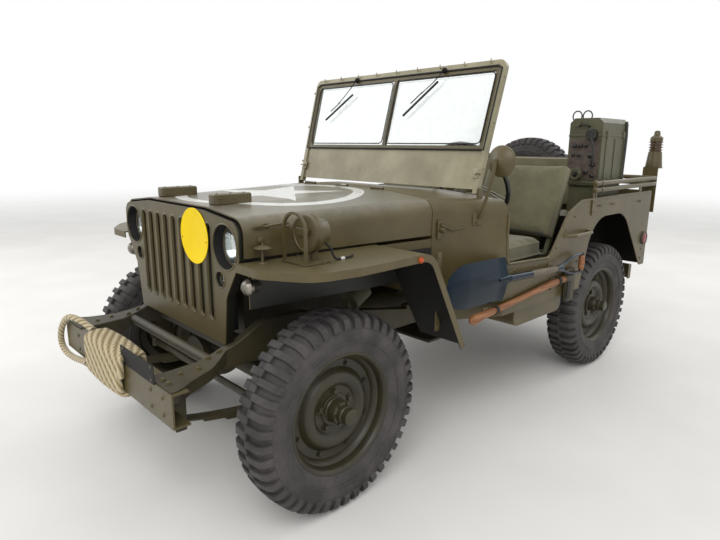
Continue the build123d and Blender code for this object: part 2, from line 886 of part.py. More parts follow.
# Tub sides: one panel each, with the door opening and the wheel arch
side_rear_y = rear_panel_y - corner_radius
with BuildPart() as tub_side_left:
    with BuildSketch(side_plane(body_half - sheet)):
        with BuildLine():
            FilletPolyline(
                (cowl_end_y, body_bottom), (cowl_end_y, sill_z + 150), (cowl_end_y + 12, sill_z + 10),
                (front_axle_y + 1290, sill_z - 10), (front_axle_y + 1450, sill_z + 192),
                (front_axle_y + 1590, body_top), (side_rear_y, body_top), (side_rear_y, body_bottom + 10),
                (rear_axle_y + 436, body_bottom + 10), (rear_axle_y + 118, arch_height),
                (rear_axle_y - 286, arch_height), (rear_axle_y - 392, body_bottom),
                radius=[0, 0, 60, 80, 120, 200, 0, 0, 20, 210, 210, 0], close=True,
            )
        make_face()
    extrude(amount=sheet)
with BuildPart() as tub_sides:
    add(tub_side_left.part)
    mirror(tub_side_left.part, about=Plane.YZ)
save(tub_sides, "tub_sides")

# Tub rear: the panel between the sides, with its round corners
with BuildPart() as tub_rear:
    with BuildSketch(Plane.XY.offset(body_bottom + 10)):
        with BuildLine():
            FilletPolyline(
                (body_half, side_rear_y), (body_half, rear_panel_y), (-body_half, rear_panel_y),
                (-body_half, side_rear_y), radius=[corner_radius - 1, corner_radius - 1],
            )
            Line((-body_half, side_rear_y), (sheet - body_half, side_rear_y))
            FilletPolyline(
                (sheet - body_half, side_rear_y), (sheet - body_half, rear_panel_y - sheet),
                (body_half - sheet, rear_panel_y - sheet), (body_half - sheet, side_rear_y),
                radius=[corner_radius - sheet - 1, corner_radius - sheet - 1],
            )
            Line((body_half - sheet, side_rear_y), (body_half, side_rear_y))
        make_face()
    extrude(amount=body_top - body_bottom - 10)
save(tub_rear, "tub_rear")

# Wheel houses: an inner wall, a top and two ends over each rear wheel
with BuildPart() as wheel_houses:
    for side in (-1, 1):
        with BuildSketch(Plane.XY.offset(floor_z)):
            with Locations((side * (wheel_house_x + body_half - sheet) / 2, (house_front_y + house_rear_y) / 2)):
                Rectangle(body_half - sheet - wheel_house_x, house_rear_y - house_front_y)
        extrude(amount=wheel_house_z - floor_z)
        with BuildSketch(Plane.XY.offset(floor_z)):
            with Locations(
                (side * (wheel_house_x + sheet + body_half) / 2, (house_front_y + house_rear_y) / 2)
            ):
                Rectangle(body_half - sheet - wheel_house_x, house_rear_y - house_front_y - 2 * sheet)
        extrude(amount=wheel_house_z - floor_z - sheet, mode=Mode.SUBTRACT)
        with BuildSketch(side_plane(side * wheel_house_x)):
            with Locations((rear_pivot_y, rear_pivot_z)):
                Circle(pin_radius)
        extrude(amount=-side * 32)
save(wheel_houses, "wheel_houses")


# Front fenders: a flat top that bends down into the rear skirt, with a turned lip
fender_inner_front = grille_half + 0.3
fender_inner_rear = hood_rear_half - 4
apron_rear_x = fender_inner_front + (fender_inner_rear - fender_inner_front) * (
    (firewall_y - fender_front_y) / (fender_foot_y + 60 - fender_front_y)
)


def fender_form(drop_low, drop_high, inset):
    # The fender's strip between two depths below its surface, trimmed to its plan less an inset.
    path = [
        (fender_front_y, fender_z), (fender_bend_y, fender_z + fender_rise), (fender_foot_y, fender_foot_z),
    ]
    upper = offset_points(path, drop_low)
    lower = offset_points(path, drop_high)
    outer = fender_half - inset
    front = fender_front_y + inset
    inner_front = fender_inner_front - 40 * (inset > 0)
    inner_rear = fender_inner_rear - 40 * (inset > 0)
    with BuildPart() as form:
        with BuildSketch(side_plane(0)):
            with BuildLine():
                FilletPolyline(
                    upper[0], upper[1], upper[2], lower[2], lower[1], lower[0],
                    radius=[0, 90 - drop_low, 0, 0, 90 - drop_high, 0], close=True,
                )
            make_face()
        extrude(amount=fender_half + 40)
        with BuildSketch(Plane.XY.offset(fender_foot_z - 100)):
            with BuildLine():
                FilletPolyline(
                    (inner_front, front), (fender_half - 190, front), (outer - 30, front + 96),
                    (outer, front + 260), (outer, fender_foot_y + 60), (inner_rear, fender_foot_y + 60),
                    radius=[0, 90, 130, 90, 0, 0], close=True,
                )
            make_face()
        extrude(amount=600, mode=Mode.INTERSECT)
    return form


fender_skin = fender_form(0, fender_lip, 0)
fender_hollow = fender_form(sheet, fender_lip + 30, sheet)
with BuildPart() as fender_left:
    add(fender_skin.part)
    add(fender_hollow.part, mode=Mode.SUBTRACT)
    with BuildSketch(Plane.XY.offset(apron_bottom)):
        with BuildLine():
            Polyline(
                (fender_inner_front, grille_y + grille_depth), (fender_inner_front + sheet, grille_y + grille_depth),
                (apron_rear_x + sheet, firewall_y - 0.3), (apron_rear_x, firewall_y - 0.3), close=True,
            )
        make_face()
    extrude(amount=fender_z - 1 - apron_bottom)
with BuildPart() as fenders:
    add(fender_left.part)
    mirror(fender_left.part, about=Plane.YZ)
save(fenders, "fenders")


# Windscreen: tube frame and lower panel, the inner frame, two glasses and two wipers
lean = radians(screen_lean)
screen_plane = Plane(
    (0, screen_hinge_y, screen_hinge_z), x_dir=(1, 0, 0), z_dir=(0, -cos(lean), sin(lean)),
)


def screen_at(distance):
    # The screen's plane, moved forward of its middle by a distance.
    return screen_plane.offset(distance)


def screen_trapezium(inset_side, low, high):
    # A trapezium that follows the screen's sides between two heights.
    slope = (screen_top_half - screen_foot_half) / screen_height
    low_half = screen_foot_half + slope * low - inset_side
    high_half = screen_foot_half + slope * high - inset_side
    return [(-low_half, low), (low_half, low), (high_half, high), (-high_half, high)]


with BuildPart() as screen_frame:
    with BuildSketch(screen_at(-screen_tube / 2)):
        with BuildLine():
            FilletPolyline(*screen_trapezium(0, -screen_foot_drop, screen_height), radius=[6, 6, 36, 36], close=True)
        make_face()
        with BuildLine():
            FilletPolyline(
                *screen_trapezium(screen_tube, -2 * screen_foot_drop, screen_height - screen_tube),
                radius=[0, 0, 14, 14], close=True,
            )
        make_face(mode=Mode.SUBTRACT)
    extrude(amount=screen_tube)
    with BuildSketch(side_plane(-screen_top_half)):
        with Locations((screen_hinge_y, screen_hinge_z)):
            Circle(pin_radius + 1)
    extrude(amount=2 * screen_top_half, mode=Mode.SUBTRACT)
    with BuildSketch(screen_at(-3)):
        with BuildLine():
            Polyline(*screen_trapezium(screen_tube - 1, 6, screen_panel_height), close=True)
        make_face()
    extrude(amount=6)
save(screen_frame, "screen_frame")

glass_low = screen_panel_height + 1
glass_high = screen_height - screen_tube - 1
rail = 20
with BuildPart() as glass_frame:
    with BuildSketch(screen_at(-9)):
        with BuildLine():
            FilletPolyline(
                *screen_trapezium(screen_tube + 1, glass_low, glass_high), radius=[0, 0, 14, 14], close=True
            )
        make_face()
        for side in (-1, 1):
            with BuildLine():
                corner_set = screen_trapezium(screen_tube + 1 + rail, glass_low + rail, glass_high - rail)
                Polyline(
                    (side * 10, glass_low + rail), (side * corner_set[1][0], glass_low + rail),
                    (side * corner_set[2][0], glass_high - rail), (side * 10, glass_high - rail), close=True,
                )
            make_face(mode=Mode.SUBTRACT)
    extrude(amount=18)
save(glass_frame, "glass_frame")

with BuildPart() as screen_glass:
    with BuildSketch(screen_at(-2)):
        for side in (-1, 1):
            with BuildLine():
                corner_set = screen_trapezium(screen_tube + 1 + rail, glass_low + rail, glass_high - rail)
                Polyline(
                    (side * 10, glass_low + rail), (side * corner_set[1][0], glass_low + rail),
                    (side * corner_set[2][0], glass_high - rail), (side * 10, glass_high - rail), close=True,
                )
            make_face()
    extrude(amount=4)
save(screen_glass, "screen_glass")


# Front seats: a tube frame, a cushion and a leaning back pad each
seat_lean = radians(seat_back_lean)


def seat_back_plane(height):
    # A plane across the back pad's front face, a height up its slope.
    return Plane(
        (0, seat_back_y + height * sin(seat_lean), seat_z + seat_pad + height * cos(seat_lean)),
        x_dir=(1, 0, 0), z_dir=(0, sin(seat_lean), cos(seat_lean)),
    )


def seat_pads(x):
    with BuildPart() as pads:
        with BuildSketch(Plane.XY.offset(seat_z)):
            with Locations((x, (seat_front_y + seat_back_y) / 2)):
                RectangleRounded(seat_width, seat_back_y - seat_front_y, 50)
        extrude(amount=seat_pad)
        fillet(pads.edges().group_by(Axis.Z)[-1], 22)
        with BuildSketch(seat_back_plane(16)):
            with Locations((x, back_pad / 2)):
                RectangleRounded(seat_width, back_pad, 24)
        extrude(amount=seat_back_height)
    return pads


def seat_frame(x, front_foot_z):
    with BuildPart() as tubes:
        for side in (-1, 1):
            rail_x = x + side * (seat_width / 2 - 30)
            with BuildSketch(side_plane(rail_x - seat_tube / 2)):
                with BuildLine():
                    Polyline(
                        *band(
                            [
                                (seat_foot_y, front_foot_z), (seat_foot_y, seat_z - 0.3),
                                (seat_back_y + 106, seat_z - 0.3), (seat_back_y + 106, floor_z + sheet + 0.3),
                            ],
                            seat_tube,
                        ),
                        close=True,
                    )
                make_face()
            extrude(amount=seat_tube)
            with BuildSketch(seat_back_plane(-74)):
                with Locations((rail_x, back_pad + 0.3 + seat_tube / 2)):
                    Rectangle(seat_tube, seat_tube)
            extrude(amount=374)
        for y in (seat_pivot_y, seat_back_y + 106 - seat_tube / 2):
            with Locations((x, y, seat_z - 0.3 - seat_tube / 2)):
                Box(seat_width - 60, seat_tube, seat_tube)
    return tubes


save(seat_pads(seat_x), "driver_seat")
save(seat_pads(-seat_x), "passenger_seat")

# Passenger seat frame: it tips forward on pins at its front feet
with BuildPart() as passenger_frame:
    add(seat_frame(-seat_x, seat_pivot_z).part)
    with BuildSketch(side_plane(-seat_x - seat_width / 2)):
        with Locations((seat_pivot_y, seat_pivot_z)):
            Circle(pin_radius + 1)
    extrude(amount=seat_width, mode=Mode.SUBTRACT)
    for rail_side in (-1, 1):
        eye_x = rail_side * (seat_width / 2 - 30) - seat_x
        with BuildSketch(side_plane(eye_x - seat_tube / 2)):
            with Locations((seat_pivot_y, seat_pivot_z)):
                Circle(seat_tube / 2)
                Circle(pin_radius + 1, mode=Mode.SUBTRACT)
        extrude(amount=seat_tube)
save(passenger_frame, "passenger_seat_frame")

# Rear seat: a bench between the wheel houses, with a back pad that folds down on it
with BuildPart() as rear_seat:
    with BuildSketch(Plane.XY.offset(rear_seat_z)):
        with Locations((0, rear_seat_front_y + rear_seat_depth / 2)):
            RectangleRounded(2 * rear_seat_half, rear_seat_depth, 40)
    extrude(amount=rear_pad)
    fillet(rear_seat.edges().group_by(Axis.Z)[-1], 20)
save(rear_seat, "rear_seat")

with BuildPart() as rear_seat_back:
    with BuildSketch(front_plane(rear_back_y)):
        with Locations((0, rear_back_low + rear_back_height / 2)):
            RectangleRounded(2 * rear_seat_half, rear_back_height, 40)
    extrude(amount=-rear_pad)
    for side in (-1, 1):
        with BuildSketch(side_plane(side * (rear_seat_half - 4))):
            with Locations((rear_back_y + 22, rear_back_low + 60)):
                Rectangle(44, 100)
            with BuildLine():
                Polyline(
                    (rear_pivot_y - 8, rear_pivot_z), (rear_pivot_y + 11, rear_pivot_z),
                    (rear_back_y + 44, rear_back_low + 12), (rear_back_y, rear_back_low + 12), close=True,
                )
            make_face()
            with Locations((rear_pivot_y, rear_pivot_z)):
                Circle(11)
                Circle(pin_radius + 1, mode=Mode.SUBTRACT)
        extrude(amount=side * 10)
save(rear_seat_back, "rear_seat_back")

# Frames of the driver's seat and of the rear seat
with BuildPart() as seat_frames:
    add(seat_frame(seat_x, floor_z + sheet + 0.3).part)
    for side in (-1, 1):
        with BuildSketch(side_plane(side * (rear_seat_half - 40) - seat_tube / 2)):
            with BuildLine():
                Polyline(
                    *band(
                        [
                            (rear_seat_front_y + 30, floor_z + sheet + 0.3), (rear_seat_front_y + 30, rear_seat_z - 0.3),
                            (rear_back_y - 10, rear_seat_z - 0.3), (rear_back_y - 10, floor_z + sheet + 0.3),
                        ],
                        seat_tube,
                    ),
                    close=True,
                )
            make_face()
        extrude(amount=seat_tube)
save(seat_frames, "seat_frames")

# Fuel tank: it stands under the driver's seat, with its sump below the floor
with BuildPart() as fuel_tank:
    with BuildSketch(side_plane(tank_inner_x)):
        with BuildLine():
            FilletPolyline(
                (tank_front_y, tank_bottom), (tank_rear_y, tank_bottom), (tank_rear_y, tank_top),
                (tank_front_y, tank_top), radius=[40, 40, 40, 40], close=True,
            )
        make_face()
    extrude(amount=tank_outer_x - tank_inner_x)
save(fuel_tank, "fuel_tank")

# Power train: radiator, engine, then the gearbox with its transfer case and two shafts
with BuildPart() as radiator:
    with Locations((0, grille_y + 92, (grille_bottom + radiator_top) / 2)):
        Box(2 * radiator_half, 64, radiator_top - grille_bottom)
save(radiator, "radiator")

engine_y = front_axle_y + 260
with BuildPart() as engine:
    with Locations((0, engine_y, (engine_bottom + engine_top) / 2)):
        Box(2 * engine_half, engine_length, engine_top - engine_bottom)
    with Locations((0, engine_y, engine_bottom - 40)):
        Box(170, 300, 80)
save(engine, "engine")


def shaft(start, end):
    # A round drive shaft with a ball joint at each end, seated just off the flange faces.
    along = Vector(*end) - Vector(*start)
    with BuildPart() as rod:
        with BuildSketch(Plane(start, z_dir=along)):
            Circle(24)
        extrude(amount=along.length)
        with Locations(start, end):
            Sphere(34)
    return rod


gearbox_front_y = engine_y + engine_length / 2 + 0.3
front_shaft_start = (diff_x, transfer_y - 105, transfer_z)
front_shaft_end = (diff_x, front_axle_y + pinion_length + 34.3, tyre_radius)
rear_shaft_start = (diff_x, transfer_y + 105, transfer_z)
rear_shaft_end = (diff_x, rear_axle_y - pinion_length - 34.3, tyre_radius)
with BuildPart() as drive_line:
    with BuildSketch(front_plane(gearbox_front_y)):
        with Locations((0, gearbox_z)):
            Circle(88)
    extrude(amount=-(transfer_y - gearbox_front_y))
    with BuildSketch(side_plane(diff_x - 60)):
        with Locations((transfer_y, transfer_z)):
            RectangleRounded(210, transfer_height, 40)
    extrude(amount=-diff_x + 130)
    add(shaft(front_shaft_start, front_shaft_end).part)
    add(shaft(rear_shaft_start, rear_shaft_end).part)
save(drive_line, "drive_line")


def pipe(start, end):
    # A straight run of exhaust pipe.
    along = Vector(*end) - Vector(*start)
    with BuildPart() as run:
        with BuildSketch(Plane(start, z_dir=along)):
            Circle(pipe_radius)
        extrude(amount=along.length)
        with Locations(start, end):
            Sphere(pipe_radius + 2)
    return run


# Exhaust: down from the engine, across under the rail, through the muffler and out in front of the wheel
muffler_front_y = muffler_y - muffler_length / 2
tail_y = muffler_y + 290
exhaust_runs = [
    ((manifold_x, pipe_cross_y, muffler_z), (manifold_x, pipe_cross_y, muffler_z + 190)),
    ((manifold_x, pipe_cross_y, muffler_z), (muffler_x, pipe_cross_y, muffler_z)),
    ((muffler_x, pipe_cross_y, muffler_z), (muffler_x, tail_y, muffler_z)),
    ((muffler_x, tail_y, muffler_z), (30 - body_half, tail_y, muffler_z)),
]
with BuildPart() as exhaust:
    with BuildSketch(front_plane(muffler_front_y)):
        with Locations((muffler_x, muffler_z)):
            Circle(62)
    extrude(amount=-muffler_length)
    for run_start, run_end in exhaust_runs:
        add(pipe(run_start, run_end).part)
    with BuildSketch(side_plane(-engine_half - 0.3)):
        with Locations((pipe_cross_y, muffler_z + 190)):
            Circle(pipe_radius)
    extrude(amount=manifold_x + engine_half)
    for y in (muffler_front_y + 60, muffler_front_y + muffler_length - 60):
        with Locations((muffler_x, y, (muffler_z + floor_z) / 2)):
            Box(30, 6, floor_z - 0.6 - muffler_z)
save(exhaust, "exhaust")

# Steering column with its box on the rail, and the three-spoked wheel
box_y = steering_wheel_y - column_length * cos(column)
box_z = steering_wheel_z - column_length * sin(column)
with BuildPart() as steering_column:
    with BuildSketch(Plane(wheel_centre - column_axis * column_length, z_dir=column_axis)):
        Circle(column_radius)
    extrude(amount=column_length - 34)
    with BuildSketch(Plane(wheel_centre - column_axis * 40, z_dir=column_axis)):
        Circle(12)
    extrude(amount=40)
    with BuildSketch(Plane(wheel_centre - column_axis * (column_length + 40), z_dir=column_axis)):
        Circle(46)
    extrude(amount=90)
    with Locations((spring_x, box_y - 10, (rail_front_top + 0.3 + box_z) / 2)):
        Box(rail_width - 4, 60, box_z - rail_front_top - 0.3)
save(steering_column, "steering_column")

with BuildPart() as steering_wheel:
    rim_plane = Plane(wheel_centre, x_dir=(1, 0, 0), z_dir=column_axis)
    with BuildSketch(Plane(wheel_centre, x_dir=(1, 0, 0), z_dir=column_axis.cross(Vector(1, 0, 0)))):
        with Locations((steering_radius - 12, 0)):
            Circle(12)
    revolve(axis=Axis(wheel_centre, column_axis))
    with BuildSketch(rim_plane.offset(-28)):
        Circle(34)
    extrude(amount=36)
    with BuildSketch(rim_plane.offset(-30)):
        Circle(12.1)
    extrude(amount=30.5, mode=Mode.SUBTRACT)
    with BuildSketch(rim_plane.offset(-8)):
        with PolarLocations(0, 3, start_angle=90):
            with Locations((steering_radius / 2 + 6, 0)):
                Rectangle(steering_radius - 40, 12)
    extrude(amount=10)
save(steering_wheel, "steering_wheel")

# Blackout driving lamp on the left fender: its foot plate, post, drum and hoop guard
lamp_foot_z = fender_z + fender_rise * (blackout_y + 70 - fender_front_y) / (fender_bend_y - fender_front_y) + 0.3
with BuildPart() as blackout_lamp:
    with BuildSketch(wheel_plane(blackout_x, blackout_y, blackout_z, (0, 1, 0))):
        with BuildLine():
            Polyline(
                (-6, 0), (-6, 54), (0, 62), (16, 62), (24, 56), (70, 44), (80, 20), (80, 0), close=True,
            )
        make_face()
    revolve(axis=Axis((blackout_x, blackout_y, blackout_z), (0, 1, 0)))
    with Locations((blackout_x, blackout_y + 34, (lamp_foot_z + blackout_z - 40) / 2)):
        Cylinder(13, blackout_z - 40 - lamp_foot_z)
    with BuildSketch(Plane.XY.offset(lamp_foot_z)):
        with Locations((guard_x, blackout_y + 8)):
            RectangleRounded(2 * guard_half + 16, 120, 16)
    extrude(amount=4)
    with BuildSketch(front_plane(blackout_y - 44)):
        with BuildLine():
            FilletPolyline(
                (guard_x - guard_half, lamp_foot_z), (guard_x - guard_half, blackout_z + 74),
                (guard_x + guard_half, blackout_z + 74), (guard_x + guard_half, lamp_foot_z),
                (guard_x + guard_half - 9, lamp_foot_z), (guard_x + guard_half - 9, blackout_z + 65),
                (guard_x - guard_half + 9, blackout_z + 65), (guard_x - guard_half + 9, lamp_foot_z),
                radius=[0, 60, 60, 0, 0, 51, 51, 0], close=True,
            )
        make_face()
    extrude(amount=-9)
save(blackout_lamp, "blackout_lamp")

# Blades of the tools on the left side: the shovel's with its socket, and the axe's head
shaft_slope = Vector(0, 1, -0.05)
socket_end = Vector(shaft_x, front_axle_y + 1030, 724)
with BuildPart() as tool_blades:
    with BuildSketch(side_plane(tool_x)):
        with BuildLine():
            FilletPolyline(
                (front_axle_y + 462, 715), (front_axle_y + 530, 830), (front_axle_y + 870, 825),
                (front_axle_y + 905, 765), (front_axle_y + 960, 742), (front_axle_y + 960, 706),
                (front_axle_y + 905, 700), (front_axle_y + 862, 640), (front_axle_y + 530, 655),
                radius=[40, 60, 20, 12, 0, 0, 12, 20, 60], close=True,
            )
        make_face()
    extrude(amount=12)
    with BuildSketch(Plane(socket_end - shaft_slope * 120, z_dir=shaft_slope)):
        Circle(17)
    extrude(amount=120)
    with BuildSketch(side_plane(axe_x)):
        with BuildLine():
            FilletPolyline(
                (front_axle_y + 1431, 676), (front_axle_y + 1476, 682), (front_axle_y + 1500, 520),
                (front_axle_y + 1425, 520), (front_axle_y + 1431, 600), radius=[6, 6, 6, 6, 6], close=True,
            )
        make_face()
    extrude(amount=18)
save(tool_blades, "tool_blades")

with BuildPart() as tool_shafts:
    with BuildSketch(Plane(socket_end + shaft_slope * 0.8, z_dir=shaft_slope)):
        Circle(15)
    extrude(amount=426)
    with BuildSketch(side_plane(shaft_x - 11)):
        with Locations((front_axle_y + 1526, 702)):
            RectangleRounded(150, 96, 20)
            RectangleRounded(100, 52, 12, mode=Mode.SUBTRACT)
    extrude(amount=22)
    with BuildSketch(side_plane(axe_x)):
        with BuildLine():
            FilletPolyline(
                (front_axle_y + 640, 562), (front_axle_y + 640, 596), (front_axle_y + 900, 618),
                (front_axle_y + 1430.7, 648), (front_axle_y + 1430.7, 606), (front_axle_y + 900, 580),
                radius=[10, 10, 60, 4, 4, 60], close=True,
            )
        make_face()
    extrude(amount=18)
save(tool_shafts, "tool_shafts")

# Grab handles on both sides, and the clips that carry the tools
clips = [
    # station, height of the middle, height of the clip, how far the tool stands off
    (front_axle_y + 940, 718, 60, tool_x - body_half),
    (front_axle_y + 1300, 711, 44, shaft_x - 15 - body_half),
    (front_axle_y + 760, 588, 50, axe_x - body_half),
    (front_axle_y + 1340, 622, 60, axe_x - body_half),
]
with BuildPart() as grab_handles:
    for side in (-1, 1):
        with BuildSketch(Plane.XY.offset(handle_z - 9)):
            with BuildLine():
                Polyline(
                    *band(
                        [
                            (side * body_half, handle_front_y), (side * (body_half + 34), handle_front_y + 30),
                            (side * (body_half + 34), handle_rear_y - 30), (side * body_half, handle_rear_y),
                        ],
                        side * 16,
                    ),
                    close=True,
                )
            make_face()
        extrude(amount=18)
    for clip_y, clip_z, height, reach in clips:
        with Locations((body_half + (reach - 0.3) / 2, clip_y, clip_z)):
            Box(reach - 0.3, 40, height)
save(grab_handles, "grab_handles")

# Top bows, stowed: two tubes round the tub's rear, with their brackets on the sides
with BuildPart() as top_bows:
    for drop in (0, 34):
        with BuildSketch(Plane.XY.offset(bow_z - bow_radius - drop)):
            with BuildLine():
                FilletPolyline(
                    (bow_half, bow_pivot_y), (bow_half, bow_rear_y), (-bow_half, bow_rear_y), (-bow_half, bow_pivot_y),
                    (2 * bow_radius - bow_half, bow_pivot_y), (2 * bow_radius - bow_half, bow_rear_y - 2 * bow_radius),
                    (bow_half - 2 * bow_radius, bow_rear_y - 2 * bow_radius), (bow_half - 2 * bow_radius, bow_pivot_y),
                    radius=[0, 110, 110, 0, 0, 86, 86, 0], close=True,
                )
            make_face()
        extrude(amount=2 * bow_radius)
    for side in (-1, 1):
        with Locations((side * (body_half + 4), bow_pivot_y + 10, (bow_bracket_bottom + bow_z + 20) / 2)):
            Box(8, 44, bow_z + 20 - bow_bracket_bottom)
        with Locations((side * (body_half - 2.5), rear_axle_y + 320, (body_top + bow_z - 34 - bow_radius) / 2)):
            Box(5, 36, bow_z - 34 - bow_radius - body_top)
save(top_bows, "top_bows")

# Radio set on its mount over the left wheel house
with BuildPart() as radio_set:
    with Locations((radio_x, radio_y, radio_bottom + radio_height / 2)):
        Box(radio_width, radio_length, radio_height)
    chamfer(radio_set.edges().filter_by(Axis.Y).group_by(Axis.Z)[-1], 26)
    for knob_x, knob_z, knob_radius in ((40, 270, 24), (-30, 60, 26), (-40, 330, 14)):
        with BuildSketch(front_plane(radio_y - radio_length / 2)):
            with Locations((radio_x + knob_x, radio_bottom + knob_z)):
                Circle(knob_radius)
        extrude(amount=26)
    with Locations((radio_x, radio_y, (wheel_house_z + 0.3 + radio_bottom) / 2)):
        Box(radio_width - 20, radio_length - 40, radio_bottom - wheel_house_z - 0.3)
save(radio_set, "radio_set")

# Antenna base on a bracket at the left rear corner
with BuildPart() as antenna_base:
    with BuildSketch(Plane.XY.offset(antenna_z)):
        with Locations((antenna_x, antenna_y)):
            RectangleRounded(96, 80, 12)
    extrude(amount=-6)
    with BuildSketch(Plane((antenna_x, antenna_y, antenna_z), x_dir=(1, 0, 0), z_dir=(0, -1, 0))):
        with BuildLine():
            Polyline(
                (0, 0), (30, 0), (30, 60), (22, 66), (30, 76), (22, 86), (30, 96), (22, 106), (26, 120), (14, 150),
                (9, 210), (0, 210), close=True,
            )
        make_face()
    revolve(axis=Axis((antenna_x, antenna_y, antenna_z), (0, 0, 1)))
    with Locations((antenna_x, rear_panel_y + 3.3, antenna_z - 140)):
        Box(90, 6, 280)
save(antenna_base, "antenna_base")

# Mirror on its arm at the cowl's left side
mirror_foot_x = hood_rear_half + cowl_flare * (mirror_foot_y - firewall_y)
side_angle = degrees(atan2(cowl_end_y - firewall_y, body_half - hood_rear_half)) - 90
side_normal = Vector(cos(radians(side_angle)), sin(radians(side_angle)), 0)
mirror_plate = Vector(mirror_foot_x, mirror_foot_y, mirror_foot_z) + side_normal * 4.3
mirror_foot = mirror_plate + side_normal * 6
mirror_arm_top = Vector(mirror_x, mirror_y - 24, mirror_z)
with BuildPart() as mirror_head:
    with BuildSketch(wheel_plane(mirror_x, mirror_y, mirror_z, (0, 1, 0))):
        with BuildLine():
            Polyline((-26, 0), (-24, 20), (-10, 46), (6, 58), (12, 58), (12, 0), close=True)
        make_face()
    revolve(axis=Axis((mirror_x, mirror_y, mirror_z), (0, 1, 0)))
    with BuildSketch(Plane(mirror_foot, z_dir=mirror_arm_top - mirror_foot)):
        Circle(7)
    extrude(amount=(mirror_arm_top - mirror_foot).length)
    with Locations(Location(tuple(mirror_plate), (0, 0, side_angle))):
        Box(8, 44, 50)
save(mirror_head, "mirror")

# Reflectors on the rear panel and marker lamps on the fenders' sides
with BuildPart() as reflectors:
    for side in (-1, 1):
        with BuildSketch(front_plane(rear_panel_y)):
            with Locations((side * (body_half - 110), 736)):
                Circle(40)
        extrude(amount=-10)
        with BuildSketch(side_plane(side * fender_half)):
            with Locations((front_axle_y + 270, fender_z - 12)):
                Circle(11)
        extrude(amount=side * 8)
save(reflectors, "reflectors")
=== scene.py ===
"""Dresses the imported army 4x4 car: an add-on with one operator for each piece or group of like pieces."""
from math import cos, pi, radians, sin

import bmesh
import bpy
from bpy.props import FloatProperty, FloatVectorProperty, IntProperty, PointerProperty
from mathutils import Matrix, Vector


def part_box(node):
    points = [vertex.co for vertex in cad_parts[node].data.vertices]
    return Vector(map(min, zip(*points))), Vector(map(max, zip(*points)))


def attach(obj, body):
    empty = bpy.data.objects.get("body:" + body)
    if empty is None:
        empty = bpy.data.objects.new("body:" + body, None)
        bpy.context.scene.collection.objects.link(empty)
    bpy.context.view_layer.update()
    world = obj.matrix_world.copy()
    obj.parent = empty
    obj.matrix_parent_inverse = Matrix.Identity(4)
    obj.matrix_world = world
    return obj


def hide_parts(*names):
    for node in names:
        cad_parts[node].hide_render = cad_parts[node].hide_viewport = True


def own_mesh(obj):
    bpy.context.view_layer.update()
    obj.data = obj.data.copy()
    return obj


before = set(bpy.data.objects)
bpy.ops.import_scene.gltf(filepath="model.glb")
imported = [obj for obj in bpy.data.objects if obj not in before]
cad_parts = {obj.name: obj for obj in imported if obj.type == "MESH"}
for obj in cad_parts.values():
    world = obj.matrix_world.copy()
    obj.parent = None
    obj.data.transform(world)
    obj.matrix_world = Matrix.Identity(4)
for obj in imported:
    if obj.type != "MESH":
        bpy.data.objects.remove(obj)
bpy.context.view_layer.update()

bl_info = {
    "name": "Army 4x4 car",
    "version": (1, 0, 0),
    "blender": (4, 5, 0),
    "location": "View3D > Sidebar > Car",
    "description": "Tyres, paint, seats, rope, lamps, tools and radio of an open army 4x4 car",
    "category": "Object",
}

# Places taken from the solids, in metres: +X is the car's left and the front faces -Y
FRONT_AXLE = -1.110
REAR_AXLE = 0.922
AXLE_HEIGHT = 0.365
WHEEL_X = 0.6225
REAR_PANEL = 1.490
GRILLE_Y = -1.372
BODY_SIDE = 0.735
SCREEN_HINGE = Vector((0.0, -0.274, 1.096))
SCREEN_LEAN = radians(15.6)
RAIL_TOP = ((-1.648, 0.550), (-1.560, 0.552), (-1.470, 0.556), (-1.414, 0.572), (-1.373, 0.588),
            (-1.332, 0.602), (-1.298, 0.618), (-1.230, 0.655), (-1.020, 0.655), (-0.890, 0.597),
            (-0.720, 0.597), (-0.450, 0.548))
STEERING_CENTRE = Vector((0.370, 0.020, 1.115))
STAR_CENTRE = -0.915
STAR_TIP = 0.315
RING_RADIUS = 0.376
RING_HALF = 0.024
LAMP_PLACE = (0.377, 0.950)
MARKER_PLACE = (0.338, 0.832)
SLOT_PITCH = 0.067
# Strand crests that pass along the whole of each rope
ROPE_CRESTS = 184
LOOP_CRESTS = 27
SPARE_X = -0.225
SPARE_HEIGHT = 0.985
SPARE_REACH = 0.118
REAR_BACK_Y = 1.290
# Bands, light or dark, that a wave texture draws in a metre at scale 1, to about 1 %
WAVE_BANDS = 6.283
X = Vector((1, 0, 0))
Y = Vector((0, 1, 0))
Z = Vector((0, 0, 1))
WHEELS = [
    # name, hub centre, outward direction, body
    ("front_left", Vector((WHEEL_X, FRONT_AXLE, AXLE_HEIGHT)), X, "front_left_wheel"),
    ("front_right", Vector((-WHEEL_X, FRONT_AXLE, AXLE_HEIGHT)), -X, "front_right_wheel"),
    ("rear_left", Vector((WHEEL_X, REAR_AXLE, AXLE_HEIGHT)), X, "rear_left_wheel"),
    ("rear_right", Vector((-WHEEL_X, REAR_AXLE, AXLE_HEIGHT)), -X, "rear_right_wheel"),
    ("spare", Vector((SPARE_X, REAR_PANEL + SPARE_REACH, SPARE_HEIGHT)), Y, "chassis"),
]


def linear(code):
    """The linear colour of a written sRGB one; a colour property is linear already."""
    if not isinstance(code, str):
        return list(code)

    def channel(value):
        return value / 12.92 if value <= 0.04045 else ((value + 0.055) / 1.055) ** 2.4
    return [channel(int(code[i:i + 2], 16) / 255) for i in (1, 3, 5)] + [1.0]


